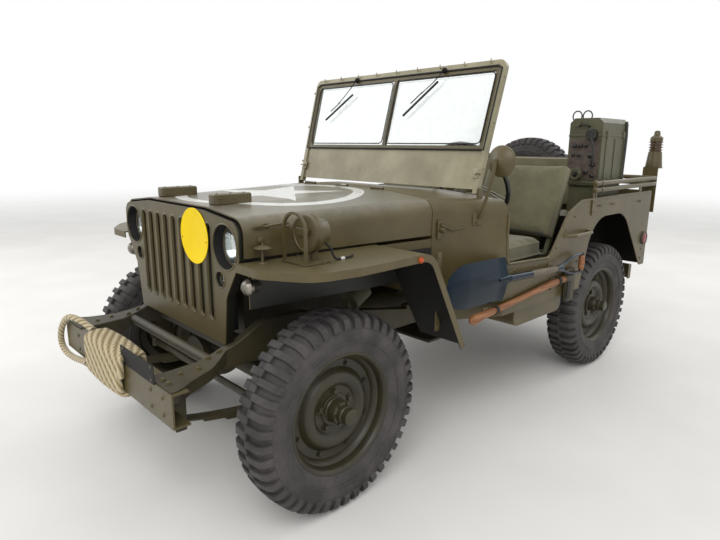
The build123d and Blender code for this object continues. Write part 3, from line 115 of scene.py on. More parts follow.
def add_node(tree, kind, values=None, links=None, stops=(), **settings):
    """One node with its settings, socket values, ramp stops and feeds: sockets, or nodes' first outputs."""
    node = tree.nodes.new("ShaderNode" + kind)
    for name, value in settings.items():
        setattr(node, name, value)
    for socket, value in (values or {}).items():
        node.inputs[socket].default_value = value
    for socket, source in (links or {}).items():
        feed = source.outputs[0] if isinstance(source, bpy.types.Node) else source
        tree.links.new(feed, node.inputs[socket])
    for index, (position, code) in enumerate(stops):
        if index > 1:
            node.color_ramp.elements.new(position)
    for element, (position, code) in zip(node.color_ramp.elements if stops else (), stops):
        element.position = position
        element.color = linear(code)
    return node


def new_finish(name, values):
    """A material and its shader, whose plain numbers are set on its sockets."""
    material = bpy.data.materials.new(name)
    material.use_nodes = True
    tree = material.node_tree
    shader = tree.nodes["Principled BSDF"]
    for socket, value in values.items():
        shader.inputs[socket].default_value = value
    place = add_node(tree, "TexCoord").outputs
    return tree, shader, place


def relief(tree, shader, height, strength, distance):
    """A bump from a height that feeds the shader's normal."""
    bump = add_node(tree, "Bump", {"Strength": strength, "Distance": distance}, {"Height": height})
    tree.links.new(bump.outputs["Normal"], shader.inputs["Normal"])


def coat(tree, shader, code, mask):
    """Lays one more colour over a finish where the mask is 1."""
    under = shader.inputs["Base Color"].links[0].from_socket
    mixed = add_node(tree, "Mix", {7: linear(code)}, {0: mask, 6: under}, data_type="RGBA")
    tree.links.new(mixed.outputs[2], shader.inputs["Base Color"])


def drab_paint(name, slot, light, deep, dust, rough, grit=260.0, dust_share=0.5, markings=False):
    """Brushed and sprayed drab paint: cloudy tone, dust on what faces up, and an orange-peel skin."""
    tree, shader, place = new_finish(name, {"IOR": 1.5, "Specular IOR Level": 0.45})
    cloud = add_node(tree, "TexNoise", {"Scale": 4.0, "Detail": 6.0, "Roughness": 0.62},
                     {"Vector": place["Object"]})
    tone = add_node(tree, "ValToRGB", None, {"Fac": cloud}, stops=[(0.36, deep), (0.66, light)])
    up = add_node(tree, "SeparateXYZ", None, {"Vector": place["Normal"]})
    facing = add_node(tree, "MapRange", {"From Min": 0.2, "From Max": 1.0, "To Max": dust_share},
                      {"Value": up.outputs["Z"]})
    speck = add_node(tree, "TexNoise", {"Scale": 23.0, "Detail": 8.0, "Roughness": 0.7},
                     {"Vector": place["Object"]})
    settled = add_node(tree, "Math", None, {0: facing, 1: speck}, operation="MULTIPLY")
    colour = add_node(tree, "Mix", {7: linear(dust)}, {0: settled, 6: tone.outputs["Color"]},
                      data_type="RGBA").outputs[2]
    tree.links.new(colour, shader.inputs["Base Color"])
    if markings:
        coat(tree, shader, "#dcdcd6", star_in_ring(tree, place))
    sheen = add_node(tree, "MapRange", {"To Min": rough - 0.07, "To Max": rough + 0.1}, {"Value": speck})
    tree.links.new(sheen.outputs[0], shader.inputs["Roughness"])
    peel = add_node(tree, "TexNoise", {"Scale": grit, "Detail": 2.0}, {"Vector": place["Object"]})
    relief(tree, shader, peel, 0.12, 0.0006)
    return tree, shader, place


def star_in_ring(tree, place):
    """Where the hood has white stencil paint: a worn five-pointed star in a ring, point to the front."""
    centred = add_node(tree, "Mapping", {"Location": (0.0, -STAR_CENTRE, 0.0), "Scale": (1.0, 1.0, 0.0)},
                       {"Vector": place["Object"]})
    axes = add_node(tree, "SeparateXYZ", None, {"Vector": centred})
    reach = add_node(tree, "VectorMath", None, {0: centred}, operation="LENGTH").outputs["Value"]
    forward = add_node(tree, "Math", {1: -1.0}, {0: axes.outputs["Y"]}, operation="MULTIPLY")
    turn = add_node(tree, "Math", None, {0: axes.outputs["X"], 1: forward}, operation="ARCTAN2")
    fifth = 2 * pi / 5
    shifted = add_node(tree, "Math", {1: 2 * pi + fifth / 2}, {0: turn}, operation="ADD")
    folded = add_node(tree, "Math", {1: fifth}, {0: shifted}, operation="MODULO")
    middle = add_node(tree, "Math", {1: fifth / 2}, {0: folded}, operation="SUBTRACT")
    aside = add_node(tree, "Math", None, {0: middle}, operation="ABSOLUTE")
    # Each half arm ends on one line, whose normal stands a fifth of a turn from the arm's tip
    slant = add_node(tree, "Math", {1: fifth}, {0: aside}, operation="SUBTRACT")
    slope = add_node(tree, "Math", None, {0: slant}, operation="COSINE")
    across = add_node(tree, "Math", None, {0: slope, 1: reach}, operation="MULTIPLY")
    star = add_node(tree, "Math", {1: STAR_TIP * cos(fifth)}, {0: across}, operation="LESS_THAN")
    band = add_node(tree, "Math", {1: RING_RADIUS, 2: RING_HALF}, {0: reach}, operation="COMPARE")
    white = add_node(tree, "Math", None, {0: star, 1: band}, operation="MAXIMUM")
    wear = add_node(tree, "TexNoise", {"Scale": 30.0, "Detail": 9.0, "Roughness": 0.72},
                    {"Vector": place["Object"]})
    kept = add_node(tree, "MapRange", {"From Min": 0.3, "From Max": 0.44}, {"Value": wear})
    up = add_node(tree, "SeparateXYZ", None, {"Vector": place["Normal"]})
    top = add_node(tree, "Math", {1: 0.5}, {0: up.outputs["Z"]}, operation="GREATER_THAN")
    shown = add_node(tree, "Math", None, {0: white, 1: kept}, operation="MULTIPLY")
    return add_node(tree, "Math", None, {0: shown, 1: top}, operation="MULTIPLY")


def plain_finish(name, slot, light, deep, rough, scale, metallic=0.0, bump=0.1, depth=0.0005, **more):
    """A finish whose tone and sheen drift at one scale: cast, moulded, worn or polished, by its numbers."""
    values = {"Metallic": metallic}
    values.update({key.replace("_", " "): value for key, value in more.items()})
    tree, shader, place = new_finish(name, values)
    grain = add_node(tree, "TexNoise", {"Scale": scale, "Detail": 6.0, "Roughness": 0.65},
                     {"Vector": place["Object"]})
    tone = add_node(tree, "ValToRGB", None, {"Fac": grain}, stops=[(0.35, deep), (0.65, light)])
    tree.links.new(tone.outputs["Color"], shader.inputs["Base Color"])
    sheen = add_node(tree, "MapRange", {"To Min": max(rough - 0.08, 0.02), "To Max": rough + 0.1},
                     {"Value": grain})
    tree.links.new(sheen.outputs[0], shader.inputs["Roughness"])
    relief(tree, shader, grain, bump, depth)


def woven(name, light, deep, thread):
    """Cotton duck: threads both ways, two from crest to crest, drawn coarser than real to show."""
    tree, shader, place = new_finish(name, {"Roughness": 0.9, "Sheen Weight": 0.35,
                                                  "Sheen Roughness": 0.5})
    waves = []
    for direction in ("X", "Y", "Z"):
        wave = add_node(tree, "TexWave", {"Scale": 1 / (thread * WAVE_BANDS), "Distortion": 0.6,
                                          "Detail": 1.0}, {"Vector": place["Object"]},
                        bands_direction=direction)
        waves.append(wave.outputs["Fac"])
    cross = add_node(tree, "Math", None, {0: waves[0], 1: waves[1]}, operation="ADD")
    weave = add_node(tree, "Math", None, {0: cross, 1: waves[2]}, operation="ADD")
    fade = add_node(tree, "TexNoise", {"Scale": 7.0, "Detail": 6.0, "Roughness": 0.65},
                    {"Vector": place["Object"]})
    tone = add_node(tree, "ValToRGB", None, {"Fac": fade}, stops=[(0.33, deep), (0.68, light)])
    tree.links.new(tone.outputs["Color"], shader.inputs["Base Color"])
    relief(tree, shader, weave, 0.25, 0.0004)


def make_finishes(paint):
    """Every finish of the car, by name."""
    # Drab enamel on pressed steel: satin, a little brown, cloudy where it was touched up by brush
    drab_paint("drab_enamel", "olive_paint", paint.light, paint.deep, "#7d775c", paint.roughness,
               dust_share=0.35)
    # The same enamel on the hood, with the white star in its ring
    drab_paint("hood_enamel", "olive_paint", paint.light, paint.deep, "#aba99e", paint.roughness - 0.06,
               dust_share=0.55, markings=True)
    # The same on the pressed grille, with painted shade in near black behind its face, in its slots
    grille_paint_with_painted_shade("grille_enamel_painted_shade", paint.light, paint.deep, paint.roughness)
    # The same on the wheel houses and the fenders, with painted shade in near black on faces that look down
    # or towards the wheels, and along the car in the wheel houses
    arch_paint_with_painted_shade("arch_enamel_painted_shade", 0.80, 2.0, 1.0)
    arch_paint_with_painted_shade("fender_enamel_painted_shade", 0.74, 0.872, 0.0)
    # Black stove enamel on the radiator's fins
    core_fins("radiator_core")
    # Enamel on the windscreen's frame, paler as painted light for the sun and sky's glare on it
    drab_paint("screen_enamel_painted_light", "olive_paint", "#9d967a", "#7b7458", "#b5b098", 0.32)
    # Enamel on the seat pans, the dash and the tub's inside, duller and greener
    drab_paint("inner_enamel", "olive_paint", "#55533c", "#46442f", "#7a7760", 0.55)
    # Enamel on the wheels, darker as painted shade of their deep dishes, with a little dust
    drab_paint("wheel_enamel_painted_shade", "olive_paint", "#37331f", "#282517", "#625d47", 0.36, dust_share=0.15)
    # Dark enamel under road film on the frame, axles and springs
    drab_paint("chassis_enamel", "dark_steel", "#463f29", "#2c281b", "#565140", 0.55, grit=120.0)
    # Natural rubber, dusty brown-grey from the road
    plain_finish("tyre_rubber", "tyre", "#4c4847", "#2f2c2c", 0.75, 9.0, bump=0.3, depth=0.0012)
    # Rubber seals, hoses and cable jackets: near black and dull
    plain_finish("black_rubber", "black_plastic", "#1d1d1c", "#121212", 0.7, 60.0)
    # Moulded phenolic knobs and grips: black with a soft gloss
    plain_finish("black_phenolic", "black_plastic", "#1a1917", "#0d0d0c", 0.35, 90.0, IOR=1.6)
    # Bare steel that hands and weather have greyed
    plain_finish("bare_steel", "dark_steel", "#9b968c", "#6c6860", 0.38, 40.0, metallic=1.0)
    # Silvered lamp bowl: bright and even
    plain_finish("silvered_bowl", "clear_glass", "#e8e9ea", "#d4d6d8", 0.08, 6.0, metallic=1.0, bump=0.02)
    # Black gloss enamel on the shovel's blade, tinted blue in its colour and its highlights as a painted
    # reflection of the sky
    plain_finish("blade_enamel_painted_sky", "dark_steel", "#0a121c", "#060b12", 0.14, 9.0, bump=0.03,
                 Specular_IOR_Level=0.32, Specular_Tint=(0.42, 0.72, 1.0, 1.0))
    # Lens glass: clear, a touch green
    plain_finish("lens_glass", "clear_glass", "#f2f6f4", "#e9efec", 0.05, 30.0, bump=0.03,
                 Transmission_Weight=1.0, IOR=1.5)
    # Moulded red and amber glass, which lets a third of the light through
    plain_finish("red_glass", "red_lens", "#a5121a", "#7d0c12", 0.18, 60.0, bump=0.15,
                 Transmission_Weight=0.35)
    plain_finish("amber_glass", "red_lens", "#e0601a", "#c04c12", 0.2, 60.0, bump=0.15,
                 Transmission_Weight=0.3)
    # Signal yellow enamel on the blank sign disc
    plain_finish("yellow_enamel", "olive_paint", "#fbd90c", "#f4cf08", 0.5, 8.0, bump=0.03,
                 Specular_IOR_Level=0.15)
    # Black enamel on the blank number plate
    plain_finish("black_enamel", "black_plastic", "#121212", "#0c0c0c", 0.5, 8.0, bump=0.03,
                 Specular_IOR_Level=0.15)
    # White insulating sleeve on the lamp's wiring
    plain_finish("white_sleeve", "black_plastic", "#e4e4e0", "#c9c9c2", 0.5, 80.0, bump=0.05)
    # Grey-green crackle paint on the radio's case
    drab_paint("radio_crackle", "black_plastic", "#58563f", "#484632", "#727058", 0.5, grit=420.0)
    # Brown-grey enamel on the radio's front panel
    plain_finish("panel_enamel", "black_plastic", "#5d5046", "#3e342e", 0.5, 40.0)
    # Brown glazed ceramic rings of the aerial's foot
    plain_finish("brown_ceramic", "dark_steel", "#5b3a2b", "#3f261b", 0.22, 25.0, IOR=1.55)
    # Cotton duck of the seats, brown-green
    woven("seat_duck", "#706b50", "#5c5840", 0.0016)
    # Oiled ash of the axe's helve and the shovel's crosspiece, red-brown
    wood_grain("ash_helve", "#9c6a42", "#744727")
    # Ash of the shovel's shaft, which weather has greyed
    wood_grain("grey_ash", "#6d6250", "#4f4738")
    # Manila rope, pale straw, with painted shade in the gaps between its strands
    rope_fibre("manila_rope", ROPE_CRESTS)
    rope_fibre("manila_rope_end", LOOP_CRESTS)


def grille_paint_with_painted_shade(name, light, deep, rough):
    """The drab enamel on the grille, with painted shade in near black from a few millimetres behind its
    face.
    """
    tree, shader, place = drab_paint(name, "olive_paint", light, deep, "#7d775c", rough, dust_share=0.2)
    # Painted shade: the slots and all behind the grille's face go near black
    axes = add_node(tree, "SeparateXYZ", None, {"Vector": place["Object"]})
    depth = add_node(tree, "MapRange", {"From Min": GRILLE_Y + 0.0015, "From Max": GRILLE_Y + 0.006},
                     {"Value": axes.outputs["Y"]})
    coat(tree, shader, "#17160f", depth)


def arch_paint_with_painted_shade(name, reach, top, ends):
    """Drab enamel with painted shade: near black on faces that look down, out inside reach and top, or along
    the car.
    """
    tree, shader, place = drab_paint(name, "olive_paint", *tones_beside_painted_shade(ends), "#7a7458", 0.4)
    at = add_node(tree, "SeparateXYZ", None, {"Vector": place["Object"]})
    facing = add_node(tree, "SeparateXYZ", None, {"Vector": place["Normal"]})
    side = add_node(tree, "Math", None, {0: at.outputs["X"]}, operation="SIGN")
    out = add_node(tree, "Math", None, {0: at.outputs["X"]}, operation="ABSOLUTE")
    near = add_node(tree, "Math", {1: reach}, {0: out}, operation="LESS_THAN")
    below = add_node(tree, "Math", {1: top}, {0: at.outputs["Z"]}, operation="LESS_THAN")
    within = add_node(tree, "Math", None, {0: near, 1: below}, operation="MULTIPLY")
    outward = add_node(tree, "Math", None, {0: facing.outputs["X"], 1: side}, operation="MULTIPLY")
    inner = add_node(tree, "Math", None, {0: outward, 1: within}, operation="MULTIPLY")
    down = add_node(tree, "Math", {1: -1.0}, {0: facing.outputs["Z"]}, operation="MULTIPLY")
    shade_facing = add_node(tree, "Math", None, {0: inner, 1: down}, operation="MAXIMUM")
    length = add_node(tree, "Math", None, {0: facing.outputs["Y"]}, operation="ABSOLUTE")
    along = add_node(tree, "Math", {1: ends}, {0: length}, operation="MULTIPLY")
    either = add_node(tree, "Math", None, {0: shade_facing, 1: along}, operation="MAXIMUM")
    # Painted shade: near black on the faces picked out above
    painted_shade_mask = add_node(tree, "MapRange", {"From Min": 0.10, "From Max": 0.25}, {"Value": either})
    coat(tree, shader, "#13120d", painted_shade_mask)


def tones_beside_painted_shade(ends):
    """The light and deep tones beside the painted shade: the inner enamel's, or the body's for fenders."""
    if ends:
        return "#55533c", "#46442f"
    paint = bpy.context.scene.car_paint
    return paint.light, paint.deep


def core_fins(name):
    """A radiator's core: black, with upright fins drawn 6 mm wide, 12 mm apart, so that they show."""
    tree, shader, place = new_finish(name, {"Roughness": 0.6})
    fins = add_node(tree, "TexWave", {"Scale": 1 / (0.006 * WAVE_BANDS)}, {"Vector": place["Object"]},
                    bands_direction="X")
    tone = add_node(tree, "ValToRGB", None, {"Fac": fins.outputs["Fac"]},
                    stops=[(0.2, "#0c0c0b"), (0.8, "#26251f")])
    tree.links.new(tone.outputs["Color"], shader.inputs["Base Color"])
    relief(tree, shader, fins.outputs["Fac"], 0.5, 0.002)


def wood_grain(name, light, deep):
    """Ash, split along its grain: streaks about 11 mm wide and finer, drawn out lengthwise."""
    tree, shader, place = new_finish(name, {"Roughness": 0.55, "IOR": 1.5})
    drawn = add_node(tree, "Mapping", {"Scale": (1.0, 0.07, 1.0)}, {"Vector": place["Object"]})
    rings = add_node(tree, "TexNoise", {"Scale": 90.0, "Detail": 5.0, "Roughness": 0.6}, {"Vector": drawn})
    tone = add_node(tree, "ValToRGB", None, {"Fac": rings}, stops=[(0.35, deep), (0.62, light)])
    tree.links.new(tone.outputs["Color"], shader.inputs["Base Color"])
    relief(tree, shader, rings, 0.25, 0.0006)


def rope_fibre(name, crests):
    """Manila rope: three strands that turn once in three to four diameters, along its own UV map."""
    tree, shader, place = new_finish(name, {"Roughness": 0.85, "Sheen Weight": 0.3})
    around = add_node(tree, "SeparateXYZ", None, {"Vector": place["UV"]})
    turns = add_node(tree, "Math", {1: crests * 2 * pi}, {0: around.outputs["X"]}, operation="MULTIPLY")
    strands = add_node(tree, "Math", {1: 3 * 2 * pi}, {0: around.outputs["Y"]}, operation="MULTIPLY")
    phase = add_node(tree, "Math", None, {0: turns, 1: strands}, operation="ADD")
    swell = add_node(tree, "Math", None, {0: phase}, operation="SINE")
    strand_and_gap_shade = add_node(tree, "MapRange", {"From Min": -1.0}, {"Value": swell})
    fibre = add_node(tree, "TexNoise", {"Scale": 240.0, "Detail": 4.0}, {"Vector": place["Object"]})
    mixed = add_node(tree, "Math", {1: 0.3, 2: 0.0}, {0: fibre, 2: strand_and_gap_shade}, operation="MULTIPLY_ADD")
    # The darkest stop is painted shade in the gaps between the strands
    tone = add_node(tree, "ValToRGB", None, {"Fac": mixed},
                    stops=[(0.08, "#6f5e3e"), (0.38, "#ab9972"), (1.0, "#c9ba95")])
    tree.links.new(tone.outputs["Color"], shader.inputs["Base Color"])
    relief(tree, shader, mixed, 1.0, 0.004)


# Forms that a piece is put together from


def frame_of(centre, direction):
    """The matrix of a form whose own Z lies along a direction."""
    return Matrix.Translation(centre) @ Vector(direction).to_track_quat("Z", "Y").to_matrix().to_4x4()


def soften(form, edges, width, segments=2):
    """Rounds edges over."""
    bmesh.ops.bevel(form, geom=list(edges), offset=width, affect="EDGES", segments=segments, profile=0.5,
                    material=-1)


def take(form, other):
    """Puts a finished form into another one."""
    mesh = bpy.data.meshes.new("passing")
    other.to_mesh(mesh)
    other.free()
    form.from_mesh(mesh)
    bpy.data.meshes.remove(mesh)


def block(form, centre, size, edge=0.0, turn=None):
    """A block with rounded edges."""
    single = bmesh.new()
    place = Matrix.Translation(centre) @ (turn or Matrix()) @ Matrix.Diagonal((*size, 1.0))
    bmesh.ops.create_cube(single, size=1.0, matrix=place)
    if edge:
        soften(single, single.edges, edge)
    take(form, single)


def drum(form, base, direction, radius, length, edge=0.0, sides=32, far_radius=None):
    """A round or hexagonal body that stands on base and rises along a direction, its far rim rounded."""
    single = bmesh.new()
    middle = Vector(base) + Vector(direction).normalized() * length / 2
    bmesh.ops.create_cone(single, cap_ends=True, segments=sides, radius1=radius, depth=length,
                          radius2=radius if far_radius is None else far_radius,
                          matrix=frame_of(middle, direction))
    if edge:
        caps = sorted((f for f in single.faces if len(f.verts) > 4),
                      key=lambda f: f.calc_center_median().dot(direction))
        soften(single, caps[-1].edges, edge)
    take(form, single)


def ball(form, centre, radius, squash=(1.0, 1.0, 1.0)):
    """A knob."""
    place = Matrix.Translation(centre) @ Matrix.Diagonal((*squash, 1.0))
    bmesh.ops.create_uvsphere(form, u_segments=24, v_segments=14, radius=radius, matrix=place)


def turned(form, centre, direction, profile, steps=64):
    """A profile of (along, radius) pairs turned about a line."""
    single = bmesh.new()
    place = frame_of(centre, direction)
    verts = [single.verts.new(place @ Vector((radius, 0.0, along))) for along, radius in profile]
    edges = [single.edges.new(pair) for pair in zip(verts, verts[1:])]
    bmesh.ops.spin(single, geom=verts + edges, cent=centre, axis=Vector(direction).normalized(),
                   angle=2 * pi, steps=steps, use_merge=True)
    take(form, single)


def plate(form, outline, origin, u, v, thickness, corner=0.0, edge=0.0, segments=4):
    """A flat shape of (u, v) pairs with rounded corners, as thick as given along u x v."""
    single = bmesh.new()
    u = Vector(u).normalized()
    v = Vector(v).normalized()
    single.faces.new([single.verts.new(Vector(origin) + u * a + v * b) for a, b in outline])
    if corner:
        bmesh.ops.bevel(single, geom=single.verts[:], offset=corner, affect="VERTICES", segments=segments,
                        profile=0.5, material=-1)
    single.normal_update()
    normal = u.cross(v).normalized()
    if single.faces[:][0].normal.dot(normal) < 0:
        bmesh.ops.reverse_faces(single, faces=single.faces[:])
    grown = bmesh.ops.extrude_face_region(single, geom=single.faces[:])["geom"]
    bmesh.ops.translate(single, verts=[g for g in grown if isinstance(g, bmesh.types.BMVert)],
                        vec=normal * thickness)
    if edge:
        soften(single, [e for e in single.edges if len(e.link_faces) == 2 and e.calc_face_angle(0.0) > 1.0],
               edge, 1)
    take(form, single)


def rod(form, points, radius, bend=0.0, sides=3, closed=False, swell=()):
    """A bent round bar through points: smooth with no bend given, or a closed bead through them all.
    Swell gives the share of the radius at each point."""
    points = [Vector(p) for p in points]
    route = points[:1]
    for before, corner, after in zip(points, points[1:], points[2:]):
        if bend:
            route.append(corner + (before - corner).normalized() * bend)
        route.append(corner)
        if bend:
            route.append(corner + (after - corner).normalized() * bend)
    route.append(points[-1])
    line = bpy.data.curves.new("passing", "CURVE")
    line.dimensions = "3D"
    line.bevel_depth = radius
    line.bevel_resolution = sides
    line.resolution_u = 4
    line.use_fill_caps = not closed
    spline = line.splines.new("POLY" if closed else "NURBS")
    spline.points.add(len(route) - 1)
    for point, place in zip(spline.points, route):
        point.co = (*place, 1.0)
    for point, share in zip(spline.points, swell):
        point.radius = share
    if closed:
        spline.use_cyclic_u = True
    else:
        spline.order_u = min(3, len(route))
        spline.use_endpoint_u = True
    item = bpy.data.objects.new("passing", line)
    mesh = bpy.data.meshes.new_from_object(item)
    form.from_mesh(mesh)
    bpy.data.meshes.remove(mesh)
    bpy.data.objects.remove(item)
    bpy.data.curves.remove(line)


def around(form, centre, direction, count, single):
    """Repeats a form evenly round a line."""
    bmesh.ops.spin(single, geom=single.verts[:] + single.edges[:] + single.faces[:], cent=centre,
                   axis=Vector(direction).normalized(), angle=2 * pi * (count - 1) / count, steps=count - 1,
                   use_duplicate=True)
    take(form, single)


def bolt(form, place, direction, radius=0.008):
    """A hexagon head on its washer."""
    direction = Vector(direction).normalized()
    drum(form, Vector(place) - direction * 0.001, direction, radius * 1.4, radius * 0.25 + 0.001, 0.0, 20)
    drum(form, Vector(place) + direction * radius * 0.2, direction, radius, radius * 0.8, radius * 0.15, 6)


def rivet(form, place, direction, radius=0.006):
    """A low round head."""
    turned(form, place, direction, [(-0.001, radius), (0.0, radius), (radius * 0.35, radius * 0.8),
                                    (radius * 0.55, radius * 0.4), (radius * 0.6, 0.0)], 14)


def oblong(low_a, low_b, high_a, high_b):
    """The corners of a rectangle, in order."""
    return [(low_a, low_b), (high_a, low_b), (high_a, high_b), (low_a, high_b)]


def stadium(half_width, low, high, steps=10):
    """The outline of an upright slot with round ends."""
    arc = [pi * i / steps for i in range(steps + 1)]
    return [(half_width * cos(t), high - half_width + half_width * sin(t)) for t in arc] + [
        (-half_width * cos(t), low + half_width - half_width * sin(t)) for t in arc]


def dress(item, finish, body, replaced):
    """Gives an object its finish, the body that it rides on and the nodes that it stands for."""
    item.data.materials.append(bpy.data.materials[finish])
    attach(item, body)
    if replaced:
        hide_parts(*replaced)


def add_piece(name, form, finish, body, replaced=(), crease=35):
    """Makes a form an object: doubles merged, normals outward, smooth between sharp edges, dressed."""
    bmesh.ops.remove_doubles(form, verts=form.verts, dist=2e-5)
    bmesh.ops.recalc_face_normals(form, faces=form.faces)
    mesh = bpy.data.meshes.new(name)
    form.to_mesh(mesh)
    form.free()
    mesh.shade_smooth()
    mesh.set_sharp_from_angle(angle=radians(crease))
    item = bpy.data.objects.new(name, mesh)
    bpy.context.scene.collection.objects.link(item)
    dress(item, finish, body, replaced)


# Solids by finish; the rest are in drab enamel
SOLIDS = {
    "hood_enamel": ("hood",),
    "grille_enamel_painted_shade": ("grille",),
    "fender_enamel_painted_shade": ("fenders",),
    "arch_enamel_painted_shade": ("wheel_houses",),
    "chassis_enamel": ("frame", "axles", "knuckle_left", "knuckle_right", "tie_rod", "leaf_springs",
                       "drive_line", "engine", "exhaust"),
    "radiator_core": ("radiator",),
    "wheel_enamel_painted_shade": ("spare_wheel", "wheel_front_left", "wheel_front_right", "wheel_rear_left",
                     "wheel_rear_right"),
    "tyre_rubber": ("tyre_front_left", "tyre_front_right", "tyre_rear_left", "tyre_rear_right",
                    "spare_tyre"),
    "screen_enamel_painted_light": ("screen_frame",),
    "lens_glass": ("screen_glass", "lamp_glasses"),
    "inner_enamel": ("steering_wheel", "steering_column", "seat_frames", "passenger_seat_frame",
                     "tub_floor"),
    "seat_duck": ("driver_seat", "passenger_seat", "rear_seat", "rear_seat_back"),
    "radio_crackle": ("radio_set",),
    "blade_enamel_painted_sky": ("tool_blades",),
    "ash_helve": ("tool_shafts",),
    "red_glass": ("reflectors",),
    "manila_rope": ("rope",),
}


def dress_solids():
    """Gives every solid of the frame its finish."""
    finish_of = {node: finish for finish, nodes in SOLIDS.items() for node in nodes}
    for name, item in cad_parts.items():
        finish = bpy.data.materials[finish_of.get(name, "drab_enamel")]
        if not item.material_slots:
            item.data.materials.append(finish)
        for material_slot in item.material_slots:
            material_slot.material = finish


# Wheels and tyres


def make_tyre(name, centre, outward, body, node, lugs, lug_width):
    """A tyre with two rows of bar lugs that run down over its shoulders, half a pitch apart."""
    carcass = [(0.052, 0.206), (0.058, 0.215), (0.067, 0.228), (0.076, 0.252), (0.0795, 0.278),
               (0.0785, 0.300), (0.0755, 0.320), (0.069, 0.335), (0.058, 0.345), (0.040, 0.3495),
               (0.0, 0.351)]
    form = bmesh.new()
    ring = [(-along, radius) for along, radius in carcass] + carcass[-2::-1]
    turned(form, centre, outward, ring + ring[:1], 120)
    # A raised line round each sidewall
    for side in (-1, 1):
        line = [(side * 0.0785, 0.262), (side * 0.0812, 0.265), (side * 0.0812, 0.269),
                (side * 0.079, 0.272)]
        turned(form, centre, outward, line, 120)
    section = [(-0.004, 0.347), (-0.004, 0.3635), (0.002, 0.365), (0.032, 0.364), (0.060, 0.3605),
               (0.0755, 0.350), (0.0825, 0.334), (0.0835, 0.318), (0.0775, 0.310), (0.070, 0.333),
               (0.055, 0.341), (0.030, 0.347)]
    radial = Z if abs(outward.z) < 0.5 else X
    along_tread = outward.cross(radial)
    for side in (-1, 1):
        single = bmesh.new()
        start = centre - along_tread * lug_width / 2
        plate(single, section, start, outward * side, radial, lug_width * side)
        high = set()
        for vert in single.verts:
            away = vert.co - centre
            if (away - outward * away.dot(outward)).length > 0.3505:
                high.add(vert)
        soften(single, [e for e in single.edges if high.issuperset(e.verts)], 0.0016, 1)
        if side < 0:
            bmesh.ops.rotate(single, verts=single.verts, cent=centre,
                             matrix=Matrix.Rotation(pi / lugs, 3, outward))
        around(form, centre, outward, lugs, single)
    add_piece("tyre_rubber_" + name, form, "tyre_rubber", body, [node], 30)


def make_wheel(name, centre, outward, body, replaced):
    """A split pressed wheel: rim, bolted flat ring, dished disc and a valve."""
    front = [(0.058, 0.2265), (0.0625, 0.2265), (0.066, 0.2235), (0.066, 0.217), (0.060, 0.2095),
             (0.052, 0.2045), (0.030, 0.2015), (0.023, 0.193), (0.011, 0.1875), (0.005, 0.1845),
             (0.003, 0.179), (0.003, 0.157), (0.008, 0.151), (0.021, 0.1435), (0.030, 0.133),
             (0.0335, 0.121), (0.030, 0.107), (0.021, 0.095), (0.014, 0.089), (0.012, 0.082), (0.012, 0.040)]
    back = [(0.006, 0.040), (0.006, 0.084), (0.010, 0.093), (0.016, 0.099), (0.024, 0.109), (0.0275, 0.121),
            (0.025, 0.130), (0.016, 0.139), (0.004, 0.146), (-0.003, 0.154), (-0.003, 0.181),
            (-0.002, 0.187), (0.004, 0.191), (0.016, 0.1965), (0.022, 0.2005), (-0.040, 0.2005),
            (-0.052, 0.2045), (-0.060, 0.2095), (-0.066, 0.217), (-0.066, 0.2235), (-0.0625, 0.2265),
            (-0.058, 0.2265), (-0.056, 0.222), (-0.054, 0.211), (-0.040, 0.2065), (0.040, 0.2065),
            (0.054, 0.211), (0.056, 0.222)]
    form = bmesh.new()
    turned(form, centre, outward, front + back + front[:1], 96)
    radial = Z if abs(outward.z) < 0.5 else X
    for index in range(8):
        arm = Matrix.Rotation(2 * pi * (index + 0.5) / 8, 3, outward) @ radial
        bolt(form, centre + outward * 0.003 + arm * 0.168, outward, 0.0085)
    valve = Matrix.Rotation(radians(75), 3, outward) @ radial
    drum(form, centre + outward * 0.010 + valve * 0.186, outward * 0.9 + valve * 0.2, 0.004, 0.032, 0.001,
         16)
    add_piece("wheel_disc_" + name, form, "wheel_enamel_painted_shade", body, [replaced], 32)


def make_hub(name, centre, outward, body):
    """The hub over the wheel's centre: a flange with five nuts and a drum with its cap."""
    form = bmesh.new()
    turned(form, centre, outward, [(0.010, 0.060), (0.0165, 0.060), (0.018, 0.058), (0.018, 0.047),
                                   (0.022, 0.044), (0.052, 0.043), (0.056, 0.041), (0.060, 0.034),
                                   (0.076, 0.033), (0.080, 0.030), (0.102, 0.029), (0.106, 0.024),
                                   (0.1075, 0.0)], 48)
    turned(form, centre, outward, [(-0.026, 0.046), (-0.026, 0.060), (0.006, 0.060)], 40)
    turned(form, centre, outward, [(-0.0235, 0.106), (-0.0235, 0.1165), (-0.021, 0.1185), (0.000, 0.1185),
                                   (0.004, 0.114), (0.005, 0.058)], 64)
    radial = Z if abs(outward.z) < 0.5 else X
    for index in range(5):
        arm = Matrix.Rotation(2 * pi * index / 5, 3, outward) @ radial
        bolt(form, centre + outward * 0.012 + arm * 0.070, outward, 0.0125)
    for index in range(6):
        arm = Matrix.Rotation(2 * pi * (index + 0.5) / 6, 3, outward) @ radial
        bolt(form, centre + outward * 0.0585 + arm * 0.0385, outward, 0.005)
    add_piece("hub_" + name, form, "wheel_enamel_painted_shade", body, [], 32)


# Front


